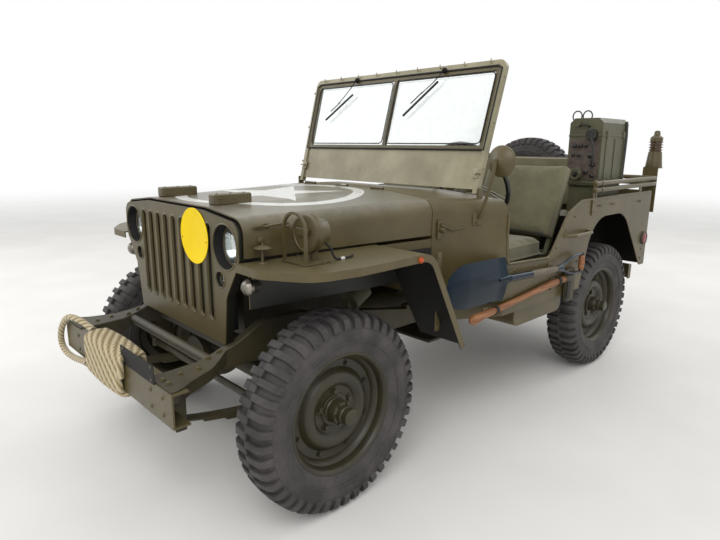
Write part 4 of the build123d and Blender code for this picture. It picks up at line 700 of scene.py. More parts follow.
def make_grille_beads():
    """The rolled edge of each slot and lamp opening, which stands a little proud of the pressed face."""
    form = bmesh.new()
    for index in range(-4, 5):
        outline = [(index * SLOT_PITCH + a, GRILLE_Y, b) for a, b in stadium(0.0200, 0.6705, 1.0235)]
        rod(form, outline, 0.0030, sides=2, closed=True)
        lip = [(index * SLOT_PITCH + a, GRILLE_Y + 0.0055, b) for a, b in stadium(0.0225, 0.6685, 1.0255)]
        rod(form, lip, 0.0065, sides=3, closed=True)
    for side in (-1, 1):
        for (x, z), radius in ((LAMP_PLACE, 0.0795), (MARKER_PLACE, 0.0295)):
            circle = [2 * pi * i / 48 for i in range(48)]
            rod(form, [(side * x + radius * cos(t), GRILLE_Y, z + radius * sin(t)) for t in circle], 0.0032,
                sides=2, closed=True)
    add_piece("grille_beads", form, "drab_enamel", "chassis")


def make_lamps():
    """Each headlamp deep in its sleeve: housing, rim, silvered bowl and domed lens; markers likewise."""
    housings = bmesh.new()
    rims = bmesh.new()
    bowls = bmesh.new()
    lenses = bmesh.new()
    for side in (-1, 1):
        lamp = Vector((side * LAMP_PLACE[0], GRILLE_Y + 0.040, LAMP_PLACE[1]))
        turned(housings, lamp, Y, [(-0.0375, 0.0755), (-0.0375, 0.0785), (0.010, 0.0785), (0.045, 0.058),
                                   (0.070, 0.022), (0.072, 0.0)], 56)
        turned(housings, lamp, Y, [(-0.0375, 0.0755), (0.001, 0.0755)], 56)
        turned(rims, lamp, -Y, [(-0.001, 0.0755), (0.002, 0.0755), (0.0035, 0.0735), (0.001, 0.0715),
                                (-0.001, 0.0715), (-0.001, 0.0755)], 56)
        turned(bowls, lamp, -Y, [(-0.005, 0.0715), (-0.024, 0.062), (-0.038, 0.050), (-0.052, 0.030),
                                 (-0.058, 0.012), (-0.059, 0.0)], 48)
        drum(bowls, lamp + Y * 0.057, -Y, 0.011, 0.028, 0.003, 20)
        turned(lenses, lamp, -Y, [(-0.0045, 0.0712), (-0.002, 0.0712), (0.002, 0.066), (0.0055, 0.045),
                                  (0.0075, 0.02), (0.008, 0.0), (0.004, 0.0), (0.0035, 0.02),
                                  (0.0015, 0.045), (-0.002, 0.066), (-0.0045, 0.0712)], 48)
        marker = Vector((side * MARKER_PLACE[0], GRILLE_Y + 0.016, MARKER_PLACE[1]))
        turned(housings, marker, Y, [(-0.0140, 0.0255), (-0.0140, 0.0280), (0.010, 0.0280), (0.032, 0.015),
                                     (0.036, 0.0)], 36)
        turned(housings, marker, Y, [(-0.0140, 0.0255), (0.001, 0.0255)], 36)
        turned(rims, marker, -Y, [(-0.001, 0.0255), (0.0025, 0.0250), (0.0035, 0.0235), (0.0015, 0.0215),
                                  (-0.001, 0.0215), (-0.001, 0.0255)], 36)
        turned(bowls, marker, -Y, [(-0.006, 0.0215), (-0.020, 0.014), (-0.026, 0.0)], 28)
        turned(lenses, marker, -Y, [(-0.003, 0.0213), (0.001, 0.019), (0.003, 0.010), (0.0035, 0.0),
                                    (0.001, 0.0), (0.0, 0.010), (-0.003, 0.0213)], 28)
    add_piece("lamp_housings", housings, "black_rubber", "chassis", ["headlamps"])
    add_piece("lamp_rims", rims, "drab_enamel", "chassis")
    add_piece("lamp_bowls", bowls, "silvered_bowl", "chassis")
    add_piece("lamp_lenses", lenses, "lens_glass", "chassis", ["lamp_glasses"])


def rail_height(y):
    """The height of the frame rails' top at y, near the front bumper."""
    for (before, low), (after, high) in zip(RAIL_TOP, RAIL_TOP[1:]):
        if before <= y <= after:
            return low + (high - low) * (y - before) / (after - before)
    return RAIL_TOP[-1][1]


def make_frame():
    """The frame: rails that rise over the front axle, gussets, cross members and spring hangers."""
    form = bmesh.new()
    for side in (-1, 1):
        side_view = [(-1.591, 0.440), *RAIL_TOP, (1.492, 0.548), (1.492, 0.464), (-0.510, 0.464),
                     (-0.880, 0.513), (-1.440, 0.513)]
        plate(form, side_view, (side * 0.331, 0.0, 0.0), Y, Z, side * 0.040, 0.0, 0.003)
        for y in (-0.400, 0.442, 1.402):
            block(form, (side * 0.351, y, 0.5545), (0.040, 0.070, 0.015), 0.002)
        edge = [(0.498, -1.646), (0.498, -1.626), (0.488, -1.598), (0.467, -1.568), (0.446, -1.520),
                (0.425, -1.468), (0.400, -1.425), (0.380, -1.395), (0.372, -1.380)]
        web = bmesh.new()
        inner = [web.verts.new((side * 0.368, y, rail_height(y))) for x, y in edge]
        outer = [web.verts.new((side * x, y, rail_height(y))) for x, y in edge]
        lower = [web.verts.new((side * x, y, rail_height(y) - 0.040)) for x, y in edge]
        for index in range(len(edge) - 1):
            web.faces.new((inner[index], inner[index + 1], outer[index + 1], outer[index]))
            web.faces.new((outer[index], outer[index + 1], lower[index + 1], lower[index]))
        bmesh.ops.recalc_face_normals(web, faces=web.faces[:])
        bmesh.ops.solidify(web, geom=web.faces[:], thickness=0.004)
        take(form, web)
    for axle_y, top in ((FRONT_AXLE, 0.513), (REAR_AXLE, 0.464)):
        for end in (-1, 1):
            y = axle_y + end * 0.456
            for side in (-1, 1):
                for cheek in (-1, 1):
                    x = side * 0.351 + cheek * 0.0253
                    plate(form, [(y - 0.020, 0.346), (y + 0.020, 0.346), (y + 0.022, top + 0.006),
                                 (y - 0.022, top + 0.006)], (x - 0.003, 0.0, 0.0), Y, Z, 0.006, 0.004, 0.001)
                    bolt(form, (x + cheek * 0.003, y, 0.368), X * cheek, 0.010)
    drum(form, (-0.335, -1.425, 0.543), X, 0.020, 0.670, 0.0, 40)
    for y, z, length, depth in ((-1.280, 0.555, 0.060, 0.054), (-0.090, 0.318, 0.260, 0.014),
                                (0.492, 0.506, 0.060, 0.070), (1.462, 0.506, 0.056, 0.080)):
        block(form, (0.0, y, z), (0.668, length, depth), 0.004)
    for side in (-1, 1):
        plate(form, oblong(-0.150, 0.312, -0.030, 0.548), (side * 0.313, 0.0, 0.0), Y, Z, side * 0.018, 0.0,
              0.003)
        block(form, (side * 0.240, -0.910, 0.540), (0.182, 0.060, 0.036), 0.004)
    add_piece("frame_rails", form, "chassis_enamel", "chassis", ["frame"])


def make_sign_disc():
    """The blank yellow disc, rolled at its rim and held to the grille by two small bolts."""
    centre = Vector((0.168, GRILLE_Y - 0.001, 0.964))
    form = bmesh.new()
    turned(form, centre, -Y, [(0.0, 0.0), (0.0, 0.1005), (0.0008, 0.102), (0.0022, 0.102), (0.003, 0.1005),
                              (0.003, 0.0985), (0.0024, 0.097), (0.0024, 0.0), (0.0, 0.0)], 72)
    add_piece("sign_disc", form, "yellow_enamel", "chassis")
    bolts = bmesh.new()
    for angle in (8, 172):
        arm = Vector((cos(radians(angle)), 0.0, -sin(radians(angle)))) * 0.090
        rivet(bolts, centre - Y * 0.0022 + arm, -Y, 0.003)
    add_piece("sign_disc_bolts", bolts, "black_enamel", "chassis")


def make_bumper_fittings():
    """The blank black plate at the bumper's top, and the bolts of the bumper and its gussets."""
    form = bmesh.new()
    plate(form, oblong(0.124, 0.542, 0.395, 0.608), (0.0, -1.6515, 0.0), X, Z, 0.002, 0.006, 0.0006)
    add_piece("blank_plate", form, "black_enamel", "chassis")
    form = bmesh.new()
    for x in (0.145, 0.374):
        for z in (0.554, 0.597):
            rivet(form, (x, -1.6535, z), -Y, 0.005)
    for side in (-1, 1):
        for x in (0.352, 0.440):
            for z in (0.458, 0.516):
                if side > 0 or x < 0.4:
                    rivet(form, (side * x, -1.650, z), -Y, 0.009)
        for x, y in ((0.392, -1.622), (0.430, -1.622), (0.386, -1.560), (0.392, -1.500), (0.352, -1.440),
                     (0.352, -1.398)):
            bolt(form, (side * x, y, rail_height(y)), Z, 0.0075)
    add_piece("bumper_bolts", form, "drab_enamel", "chassis")


def make_rope(settings):
    """The rope's turns round the bumper, twisted of three strands, and its loop over the right end."""
    turns = settings.turns
    middle_y = -1.621
    middle_z = 0.488
    round_bumper = [(-0.0430, 0.0), (-0.0435, 0.046), (-0.0380, 0.069), (-0.0150, 0.0725), (0.0150, 0.0725),
                    (0.0380, 0.069), (0.0435, 0.046), (0.0430, 0.0), (0.0435, -0.046), (0.0380, -0.069),
                    (0.0000, -0.0725), (-0.0380, -0.069), (-0.0435, -0.046)]
    count = len(round_bumper)
    advance = (0.1365 + 0.2165) / (turns * count - 1)
    route = []
    for index in range(turns * count):
        dy, dz = round_bumper[index % count]
        bulge = 1 + 0.10 * sin(pi * index / (turns * count - 1))
        route.append((0.1365 - advance * index, middle_y + dy * bulge, middle_z + dz * bulge))
    rope_cord("rope_turns", route, settings.diameter, "manila_rope", ["rope"])
    loop = [(-0.222, -1.630, 0.566), (-0.262, -1.634, 0.574), (-0.312, -1.652, 0.592),
            (-0.380, -1.666, 0.594), (-0.452, -1.667, 0.566), (-0.520, -1.667, 0.514),
            (-0.553, -1.667, 0.462), (-0.540, -1.667, 0.424), (-0.488, -1.667, 0.408),
            (-0.420, -1.667, 0.409), (-0.350, -1.667, 0.418), (-0.290, -1.666, 0.428),
            (-0.250, -1.665, 0.434), (-0.222, -1.664, 0.436)]
    rope_cord("rope_end_loop", loop, 0.0255, "manila_rope_end", [])


def rope_cord(name, route, diameter, finish, replaced):
    """One open smooth curve with a twisted rope's section swept along it."""
    line = bpy.data.curves.new(name, "CURVE")
    line.dimensions = "3D"
    line.bevel_depth = diameter / 2
    line.bevel_resolution = 5
    line.resolution_u = 5
    line.use_fill_caps = True
    spline = line.splines.new("NURBS")
    spline.points.add(len(route) - 1)
    for point, place in zip(spline.points, route):
        point.co = (*place, 1.0)
    spline.order_u = 3
    spline.use_endpoint_u = True
    item = bpy.data.objects.new(name, line)
    bpy.context.scene.collection.objects.link(item)
    dress(item, finish, "chassis", replaced)
    bpy.context.view_layer.update()
    bare = line.copy()
    bare.bevel_depth = 0.0
    probe = bpy.data.objects.new("passing", bare)
    mesh = bpy.data.meshes.new_from_object(probe)
    bpy.data.meshes.remove(mesh)
    bpy.data.objects.remove(probe)
    bpy.data.curves.remove(bare)


# Hood, cowl and fenders


def make_hood_fittings():
    """Spring catches: a mushroom handle on each fender, hooks on the hood's sides, rear latches."""
    catches = bmesh.new()
    hooks = bmesh.new()
    for side in (-1, 1):
        foot = Vector((side * 0.512, -1.312, 0.9085))
        turned(catches, foot, Z, [(0.0, 0.0), (0.0, 0.014), (0.003, 0.012), (0.004, 0.006), (0.006, 0.0)],
               20)
        rod(catches, [foot + Z * 0.002, foot + Vector((-side * 0.004, 0.004, 0.046))], 0.0042)
        turned(catches, foot + Vector((-side * 0.005, 0.005, 0.044)), Z,
               [(0.0, 0.006), (0.002, 0.026), (0.005, 0.030), (0.008, 0.026), (0.013, 0.014), (0.015, 0.005),
                (0.021, 0.005), (0.023, 0.0)], 28)
        plate(hooks, [(-1.325, 1.016), (-1.262, 1.018), (-1.262, 1.034), (-1.325, 1.032)],
              (side * 0.4815, 0.0, 0.0), Y * side, Z, 0.003, 0.007, 0.0008)
        rod(hooks, [(side * 0.488, -1.320, 1.026), (side * 0.497, -1.306, 1.033),
                    (side * 0.499, -1.290, 1.024), (side * 0.491, -1.276, 1.026),
                    (side * 0.493, -1.190, 1.030)], 0.0034)
        for y in (-1.316, -1.270, -1.196):
            rivet(hooks, (side * (0.476 + 0.1093 * (y + 1.356)) + side * 0.0035, y,
                          1.018 if y > -1.2 else 1.025), X * side, 0.0055)
        turned(hooks, (side * 0.4805, -1.296, 0.978), X * side,
               [(0.0, 0.013), (0.003, 0.013), (0.005, 0.009), (0.009, 0.008), (0.010, 0.0)], 20)
    add_piece("hood_side_hooks", hooks, "drab_enamel", "hood")
    latches = bmesh.new()
    for side in (-1, 1):
        plate(latches, oblong(-0.500, 0.905, -0.455, 0.985), (side * 0.585, 0.0, 0.0), Y * side, Z, 0.004,
              0.008, 0.001)
        for z in (0.916, 0.974):
            rivet(latches, (side * 0.589, -0.478, z), X * side, 0.006)
        rod(latches, [(side * 0.592, -0.484, 0.965), (side * 0.606, -0.470, 0.957),
                      (side * 0.612, -0.440, 0.943), (side * 0.622, -0.405, 0.944),
                      (side * 0.632, -0.385, 0.948)], 0.005)
        turned(latches, (side * 0.588, -0.478, 0.945), X * side,
               [(0.0, 0.013), (0.010, 0.013), (0.012, 0.010), (0.018, 0.009), (0.019, 0.0)], 20)
    add_piece("hood_latches", latches, "drab_enamel", "chassis")
    add_piece("hood_catch_handles", catches, "drab_enamel", "chassis")


def make_hood_blocks():
    """The two blocks that the folded windscreen rests on, with three bolts on top and outside."""
    form = bmesh.new()
    for side in (-1, 1):
        x = side * 0.212
        plate(form, oblong(x - 0.029, -1.322, x + 0.029, -1.166), (0.0, 0.0, 1.0745), X, Y, 0.039, 0.014,
              0.004)
        for y in (-1.300, -1.244, -1.188):
            rivet(form, (x + side * 0.029, y, 1.098), X * side, 0.004)
            rivet(form, (x, y, 1.1135), Z, 0.005)
    add_piece("hood_rest_blocks", form, "drab_enamel", "hood", ["hood_blocks"])


def make_blackout_lamp():
    """The visor on the blackout lamp, its rims, its wiring to the fender, and the guard's bolts."""
    lamp = Vector((0.600, -1.200, 1.005))
    form = bmesh.new()
    turned(form, lamp, -Y, [(0.000, 0.062), (0.003, 0.0645), (0.006, 0.0645), (0.008, 0.061),
                            (0.0085, 0.054), (0.006, 0.052), (0.0, 0.052)], 48)
    plate(form, [(0.572, 1.0), (0.628, 1.0), (0.634, 1.024), (0.566, 1.024)], (0.0, -1.2065, 0.0), X, Z,
          0.010, 0.006, 0.001)
    turned(form, lamp + Y * 0.018, Y, [(-0.004, 0.0615), (0.0, 0.0650), (0.004, 0.0650), (0.008, 0.0585)],
           48)
    for x, y in ((0.524, -1.175), (0.660, -1.175), (0.524, -1.150), (0.660, -1.150)):
        bolt(form, (x, y, 0.9125), Z, 0.006)
    add_piece("blackout_lamp_rims", form, "drab_enamel", "chassis")
    wires = bmesh.new()
    rod(wires, [(0.632, -1.140, 0.968), (0.640, -1.128, 0.958), (0.646, -1.122, 0.930),
                (0.650, -1.112, 0.9155), (0.652, -1.085, 0.9155), (0.650, -1.060, 0.9160),
                (0.645, -1.035, 0.9165), (0.634, -1.022, 0.918), (0.628, -1.026, 0.909)], 0.0042)
    add_piece("blackout_wiring", wires, "black_rubber", "chassis")
    joint = bmesh.new()
    drum(joint, (0.652, -1.094, 0.9155), Y, 0.0056, 0.016, 0.001, 20)
    add_piece("blackout_wiring_joint", joint, "white_sleeve", "chassis")


def make_fender_fittings():
    """Bullet lamps under the front fenders and round amber markers on their sides."""
    shells = bmesh.new()
    form = bmesh.new()
    for side in (-1, 1):
        place = Vector((side * 0.478, -1.352, 0.826))
        turned(shells, place, -Y, [(-0.052, 0.0), (-0.050, 0.012), (-0.040, 0.021), (-0.012, 0.026),
                                   (-0.010, 0.028), (0.000, 0.028), (0.002, 0.026), (0.010, 0.023),
                                   (0.017, 0.014), (0.020, 0.0)], 40)
        drum(form, place + Vector((0, 0.022, 0.022)), Z, 0.006, 0.058, 0.001, 20)
    add_piece("bullet_lamps", shells, "bare_steel", "chassis")
    add_piece("bullet_lamp_stems", form, "drab_enamel", "chassis")
    lens = bmesh.new()
    ring = bmesh.new()
    for side in (-1, 1):
        place = Vector((side * 0.789, -0.840, 0.896))
        turned(lens, place, X * side, [(0.002, 0.0085), (0.006, 0.0075), (0.0085, 0.004), (0.009, 0.0)], 28)
        turned(ring, place, X * side, [(-0.002, 0.0115), (0.003, 0.0115), (0.005, 0.010), (0.003, 0.0085)],
               28)
    add_piece("amber_lenses", lens, "amber_glass", "chassis")
    add_piece("amber_rings", ring, "amber_glass", "chassis")


# Windscreen


def screen_point(x, up, out=0.0):
    """A place in the windscreen's leaning plane: across, up from its hinge, and out to the front."""
    lean_up = Vector((0.0, sin(SCREEN_LEAN), cos(SCREEN_LEAN)))
    ahead = Vector((0.0, -cos(SCREEN_LEAN), sin(SCREEN_LEAN)))
    return SCREEN_HINGE + X * x + lean_up * up + ahead * out


def make_windscreen():
    """Seals round the two panes, the hooks along the top, the side clamps and the two wipers."""
    lean_up = (screen_point(0, 1) - screen_point(0, 0)).normalized()
    ahead = (screen_point(0, 0, 1) - screen_point(0, 0)).normalized()
    seals = bmesh.new()
    for side in (-1, 1):
        corners = [(side * 0.012, 0.205), (side * 0.585, 0.205), (side * 0.5935, 0.520),
                   (side * 0.012, 0.520)]
        smooth = []
        for index, (a, b) in enumerate(corners):
            before = Vector(corners[index - 1])
            after = Vector(corners[(index + 1) % 4])
            corner = Vector((a, b))
            one = corner + (before - corner).normalized() * 0.02
            two = corner + (after - corner).normalized() * 0.02
            smooth += [one, (one + two) / 4 + corner / 2, two]
        rod(seals, [screen_point(a, b, 0.012) for a, b in smooth], 0.0028, sides=1, closed=True)
    edge = [(-0.610, 0.179), (0.610, 0.179), (0.619, 0.534), (0.598, 0.547), (-0.598, 0.547),
            (-0.619, 0.534)]
    rod(seals, [screen_point(a, b, 0.0125) for a, b in edge], 0.0045, sides=1, closed=True)
    add_piece("glass_seals", seals, "black_rubber", "windscreen")
    form = bmesh.new()
    for index in range(9):
        x = -0.560 + index * 0.140
        foot = screen_point(x, 0.562, 0.012)
        rod(form, [foot, foot + ahead * 0.008, foot + ahead * 0.011 + lean_up * 0.006,
                   foot + ahead * 0.010 + lean_up * 0.014], 0.0026, sides=2)
        rivet(form, foot, ahead, 0.0045)
    for side in (-1, 1):
        for up in (0.10, 0.30, 0.50):
            foot = screen_point(side * (0.628 + 0.015 * up / 0.57), up, 0.012)
            rivet(form, foot, ahead, 0.006)
        clamp = screen_point(side * 0.60, 0.075, 0.012)
        block(form, clamp, (0.030, 0.006, 0.044), 0.002, Matrix.Rotation(-SCREEN_LEAN, 4, "X"))
        bolt(form, clamp + ahead * 0.003, ahead, 0.007)
        rod(form, [clamp + ahead * 0.007, clamp + ahead * 0.010 + X * side * 0.008,
                   clamp + ahead * 0.010 + X * side * 0.028], 0.0032)
    add_piece("screen_hooks", form, "screen_enamel_painted_light", "windscreen")
    arms = bmesh.new()
    blades = bmesh.new()
    wipers = (
        # pivot, the arm's end on the blade, the blade's two ends
        ((0.308, 0.548), (0.183, 0.430), (0.286, 0.497), (0.107, 0.340)),
        ((-0.287, 0.548), (-0.405, 0.412), (-0.295, 0.470), (-0.482, 0.335)),
    )
    for pivot_at, arm_at, top_at, tip_at in wipers:
        pivot = screen_point(*pivot_at, 0.014)
        turned(arms, pivot, ahead, [(0.0, 0.013), (0.008, 0.013), (0.011, 0.010), (0.013, 0.005),
                                    (0.017, 0.004), (0.018, 0.0)], 24)
        middle = screen_point(*arm_at, 0.026)
        top = screen_point(*top_at, 0.021)
        tip = screen_point(*tip_at, 0.021)
        along = (tip - top).normalized()
        rod(arms, [pivot + ahead * 0.014, pivot + ahead * 0.016 - lean_up * 0.03, middle], 0.0022)
        rod(arms, [middle - along * 0.030, middle, middle + along * 0.050], 0.0026)
        plate(blades, [(0.0, -0.0045), ((tip - top).length, -0.0045), ((tip - top).length, 0.0045),
                       (0.0, 0.0045)], top - ahead * 0.003, along, ahead.cross(along), 0.006, 0.001)
        rod(blades, [top - ahead * 0.002, tip - ahead * 0.002], 0.0030, sides=1)
    add_piece("wiper_arms", arms, "black_enamel", "windscreen")
    add_piece("wiper_blades", blades, "black_rubber", "windscreen")


# Seats


def separate_bodies(node):
    """The closed bodies that a node's mesh holds, each as a form with its doubles merged."""
    whole = bmesh.new()
    whole.from_mesh(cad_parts[node].data)
    bmesh.ops.remove_doubles(whole, verts=whole.verts, dist=1e-5)
    waiting = set(whole.verts)
    bodies = []
    while waiting:
        reached = {waiting.pop()}
        edge_of_search = list(reached)
        while edge_of_search:
            vert = edge_of_search.pop()
            for edge in vert.link_edges:
                other = edge.other_vert(vert)
                if other not in reached:
                    reached.add(other)
                    edge_of_search.append(other)
        waiting -= reached
        body = whole.copy()
        body.verts.ensure_lookup_table()
        kept = {v.index for v in reached}
        bmesh.ops.delete(body, geom=[v for v in body.verts if v.index not in kept], context="VERTS")
        bodies.append(body)
    whole.free()
    return sorted(bodies, key=lambda body: sum(v.co.z for v in body.verts) / len(body.verts))


def evaluated(item):
    """The mesh of an object with its modifiers worked out."""
    graph = bpy.context.evaluated_depsgraph_get()
    return bpy.data.meshes.new_from_object(item.evaluated_get(graph))


def stuffed(body, voxel, shrink, cap, rest_normal):
    """Blows a pad up by cloth simulation. It starts a little smaller, no point moves past the cap, and
    the side that it rests on stays flat."""
    centre = sum((v.co for v in body.verts), Vector()) / len(body.verts)
    for vert in body.verts:
        away = vert.co - centre
        vert.co -= Vector([min(shrink, abs(a)) * (1 if a > 0 else -1) for a in away])
    mesh = bpy.data.meshes.new("pad")
    body.to_mesh(mesh)
    body.free()
    item = bpy.data.objects.new("pad", mesh)
    bpy.context.scene.collection.objects.link(item)
    remesh = item.modifiers.new("voxels", "REMESH")
    remesh.mode = "VOXEL"
    remesh.voxel_size = voxel
    bpy.context.view_layer.update()
    even = evaluated(item)
    item.modifiers.clear()
    item.data = even
    bpy.data.meshes.remove(mesh)
    start = [v.co.copy() for v in even.vertices]
    resting = [max(0.0, min(1.0, 2.2 * v.normal.dot(rest_normal))) for v in even.vertices]
    cloth = item.modifiers.new("air", "CLOTH")
    cloth.settings.quality = 4
    cloth.settings.mass = 0.3
    cloth.settings.tension_stiffness = 18
    cloth.settings.compression_stiffness = 18
    cloth.settings.shear_stiffness = 8
    cloth.settings.bending_stiffness = 0.6
    cloth.settings.use_pressure = True
    cloth.settings.uniform_pressure_force = 4.0
    cloth.settings.effector_weights.gravity = 0.0
    cloth.point_cache.frame_end = 20
    for step in range(1, 21):
        bpy.context.scene.frame_set(step)
    blown = evaluated(item)
    item.modifiers.clear()
    item.data = blown
    bpy.context.scene.frame_set(1)
    for vert, place, rest in zip(blown.vertices, start, resting):
        move = (vert.co - place) * (1.0 - rest)
        if move.length > cap:
            move = move.normalized() * cap
        vert.co = place + move
    bpy.data.meshes.remove(even)
    return item


def finish_pad(item, name, finish, body, replaced):
    """Names, smooths and finishes a simulated pad."""
    item.name = name
    item.data.name = name
    item.data.materials.clear()
    item.data.shade_smooth()
    smooth = item.modifiers.new("smooth", "SUBSURF")
    smooth.levels = 1
    smooth.render_levels = 1
    dress(item, finish, body, replaced)


def seam(form, item, points, radius):
    """Piping that lies on a pad's surface all round."""
    graph = bpy.context.evaluated_depsgraph_get()
    surface = item.evaluated_get(graph)
    laid = []
    for point in points:
        found, place, normal, _ = surface.closest_point_on_mesh(Vector(point))
        laid.append(place + normal * radius * 0.35 if found else Vector(point))
    rod(form, laid, radius, sides=2, closed=True)


def rounded_loop(low, high, corner, height):
    """Points round a level rectangle with rounded corners."""
    points = []
    inner_low = (low[0] + corner, low[1] + corner)
    inner_high = (high[0] - corner, high[1] - corner)
    for cx, cy, first, following in ((*inner_high, 0, (inner_low[0], high[1])),
                                     (inner_low[0], inner_high[1], 90, (low[0], inner_low[1])),
                                     (*inner_low, 180, (inner_high[0], low[1])),
                                     (inner_high[0], inner_low[1], 270, (high[0], inner_high[1]))):
        for step in range(7):
            angle = radians(first + 15 * step)
            a = cx + corner * cos(angle)
            b = cy + corner * sin(angle)
            points.append((a, b))
        # The run to the next corner
        nx, ny = following
        a, b = points[-1]
        points += [(a + (nx - a) * t / 12, b + (ny - b) * t / 12) for t in range(1, 12)]
    return [Vector((a, b, height)) for a, b in points]


def make_seats():
    """The duck cushions and backs of the front and rear seats, with piping round the front cushions."""
    lean = radians(24)
    back_up = Vector((0.0, sin(lean), cos(lean)))
    cushion, back = separate_bodies("driver_seat")
    pads = [stuffed(cushion, 0.008, 0.005, 0.016, -Z),
            stuffed(back, 0.008, 0.004, 0.010, Vector((0, cos(lean), -sin(lean))))]
    for side, who, body in ((1, "driver", "chassis"), (-1, "passenger", "passenger_seat")):
        piping = bmesh.new()
        for pad, kind in zip(pads, ("cushion", "back")):
            item = bpy.data.objects.new("pad", pad.data.copy())
            bpy.context.scene.collection.objects.link(item)
            if side < 0:
                item.data.transform(Matrix.Translation((-0.796, 0.0, 0.0)))
            finish_pad(item, f"{who}_seat_{kind}", "seat_duck", body, [f"{who}_seat"])
            low = Vector([min(v.co[i] for v in item.data.vertices) for i in range(3)])
            high = Vector([max(v.co[i] for v in item.data.vertices) for i in range(3)])
            bpy.context.view_layer.update()
            if kind == "cushion":
                for height in (low.z + 0.012, high.z - 0.016):
                    seam(piping, item, rounded_loop(low, high, 0.045, height), 0.0028)
        add_piece(f"{who}_seat_piping", piping, "seat_duck", body)
    for pad in pads:
        bpy.data.objects.remove(pad)
    for index, form in enumerate(separate_bodies("rear_seat")):
        item = stuffed(form, 0.009, 0.005, 0.016, -Z)
        finish_pad(item, f"rear_cushion_{index}", "seat_duck", "chassis", ["rear_seat"])
        low = min(v.co.z for v in item.data.vertices)
        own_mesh(item)
    form = bmesh.new()
    plate(form, oblong(-0.470, 0.890, 0.470, 1.220), (0.0, REAR_BACK_Y + 0.076, 0.0), X, Z, 0.076, 0.040)
    item = stuffed(form, 0.009, 0.004, 0.010, Y)
    finish_pad(item, "rear_back_pad", "seat_duck", "rear_seat_back", ["rear_seat_back"])
    ears = bmesh.new()
    for side in (-1, 1):
        outline = [(REAR_BACK_Y, 0.950), (REAR_BACK_Y, 0.902), (REAR_BACK_Y - 0.002, 0.874),
                   (REAR_BACK_Y + 0.018, 0.872), (REAR_BACK_Y + 0.044, 0.902), (REAR_BACK_Y + 0.044, 0.990),
                   (REAR_BACK_Y, 0.990)]
        plate(ears, outline, (side * 0.471, 0.0, 0.0), Y, Z, side * 0.004, 0.004, 0.0008)
        bolt(ears, (side * 0.475, REAR_BACK_Y + 0.008, 0.882), X * side, 0.008)
        bolt(ears, (side * 0.475, REAR_BACK_Y + 0.022, 0.965), X * side, 0.006)
    add_piece("rear_back_ears", ears, "inner_enamel", "rear_seat_back")


# Inside


def make_dash():
    """Dials, switches and blank plates on the dash, the pedals, and three levers with knobs and boots."""
    faces = bmesh.new()
    rims = bmesh.new()
    knobs = bmesh.new()
    dash_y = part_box("cowl")[1].y
    for x, z, radius in ((0.095, 0.985, 0.046), (0.020, 1.010, 0.028), (0.020, 0.950, 0.028),
                         (0.172, 1.010, 0.028), (0.172, 0.950, 0.028)):
        place = Vector((x, dash_y, z))
        turned(faces, place, Y, [(0.0005, radius), (0.0010, 0.0)], 36)
        turned(rims, place, Y, [(0.0, radius + 0.006), (0.004, radius + 0.005), (0.006, radius + 0.001),
                                (0.003, radius - 0.001), (0.0005, radius - 0.001)], 36)
        rod(rims, [place + Y * 0.002, place + Vector((0.4 * radius, 0.002, 0.6 * radius))], 0.0008, sides=1)
    for x in (-0.10, -0.06, 0.230, 0.262, 0.294):
        turned(knobs, (x, dash_y, 0.930), Y, [(0.0, 0.007), (0.010, 0.005), (0.012, 0.010), (0.020, 0.011),
                                              (0.024, 0.007), (0.025, 0.0)], 20)
    for x, z, wide, high in ((-0.52, 0.955, 0.10, 0.050), (-0.38, 0.945, 0.13, 0.070),
                             (-0.22, 0.955, 0.10, 0.050)):
        plate(rims, oblong(x, z, x + wide, z + high), (0.0, dash_y + 0.002, 0.0), X, Z, 0.002, 0.003)
    for x, wide in ((0.262, 0.050), (0.335, 0.060), (0.445, 0.060)):
        block(knobs, (x + wide / 2, -0.345, 0.735), (wide, 0.014, 0.075), 0.005,
              Matrix.Rotation(radians(-35), 4, "X"))
        rod(rims, [(x + wide / 2, -0.352, 0.735), (x + wide / 2, -0.385, 0.760),
                   (x + wide / 2, -0.425, 0.745)], 0.008)
    add_piece("dial_faces", faces, "black_enamel", "chassis")
    add_piece("dash_fittings", rims, "inner_enamel", "chassis")
    for place in ((0.025, -0.060, 0.877), (0.080, -0.080, 0.767), (0.122, -0.080, 0.767)):
        ball(knobs, place, 0.0155, (1.0, 1.0, 1.1))
    stems = bmesh.new()
    for x, knob in ((0.0, (0.025, -0.060, 0.877)), (0.072, (0.080, -0.080, 0.767)),
                    (0.116, (0.122, -0.080, 0.767))):
        foot = Vector((x, -0.150, 0.569))
        rod(stems, [foot, foot + Vector((0.0, -0.010, 0.120)), Vector(knob)], 0.0065)
        turned(knobs, foot, Z, [(0.0, 0.026), (0.006, 0.025), (0.012, 0.016), (0.018, 0.017), (0.026, 0.010),
                                (0.034, 0.008)], 24)
    add_piece("gear_levers", stems, "bare_steel", "chassis")
    add_piece("dash_knobs", knobs, "black_phenolic", "chassis")


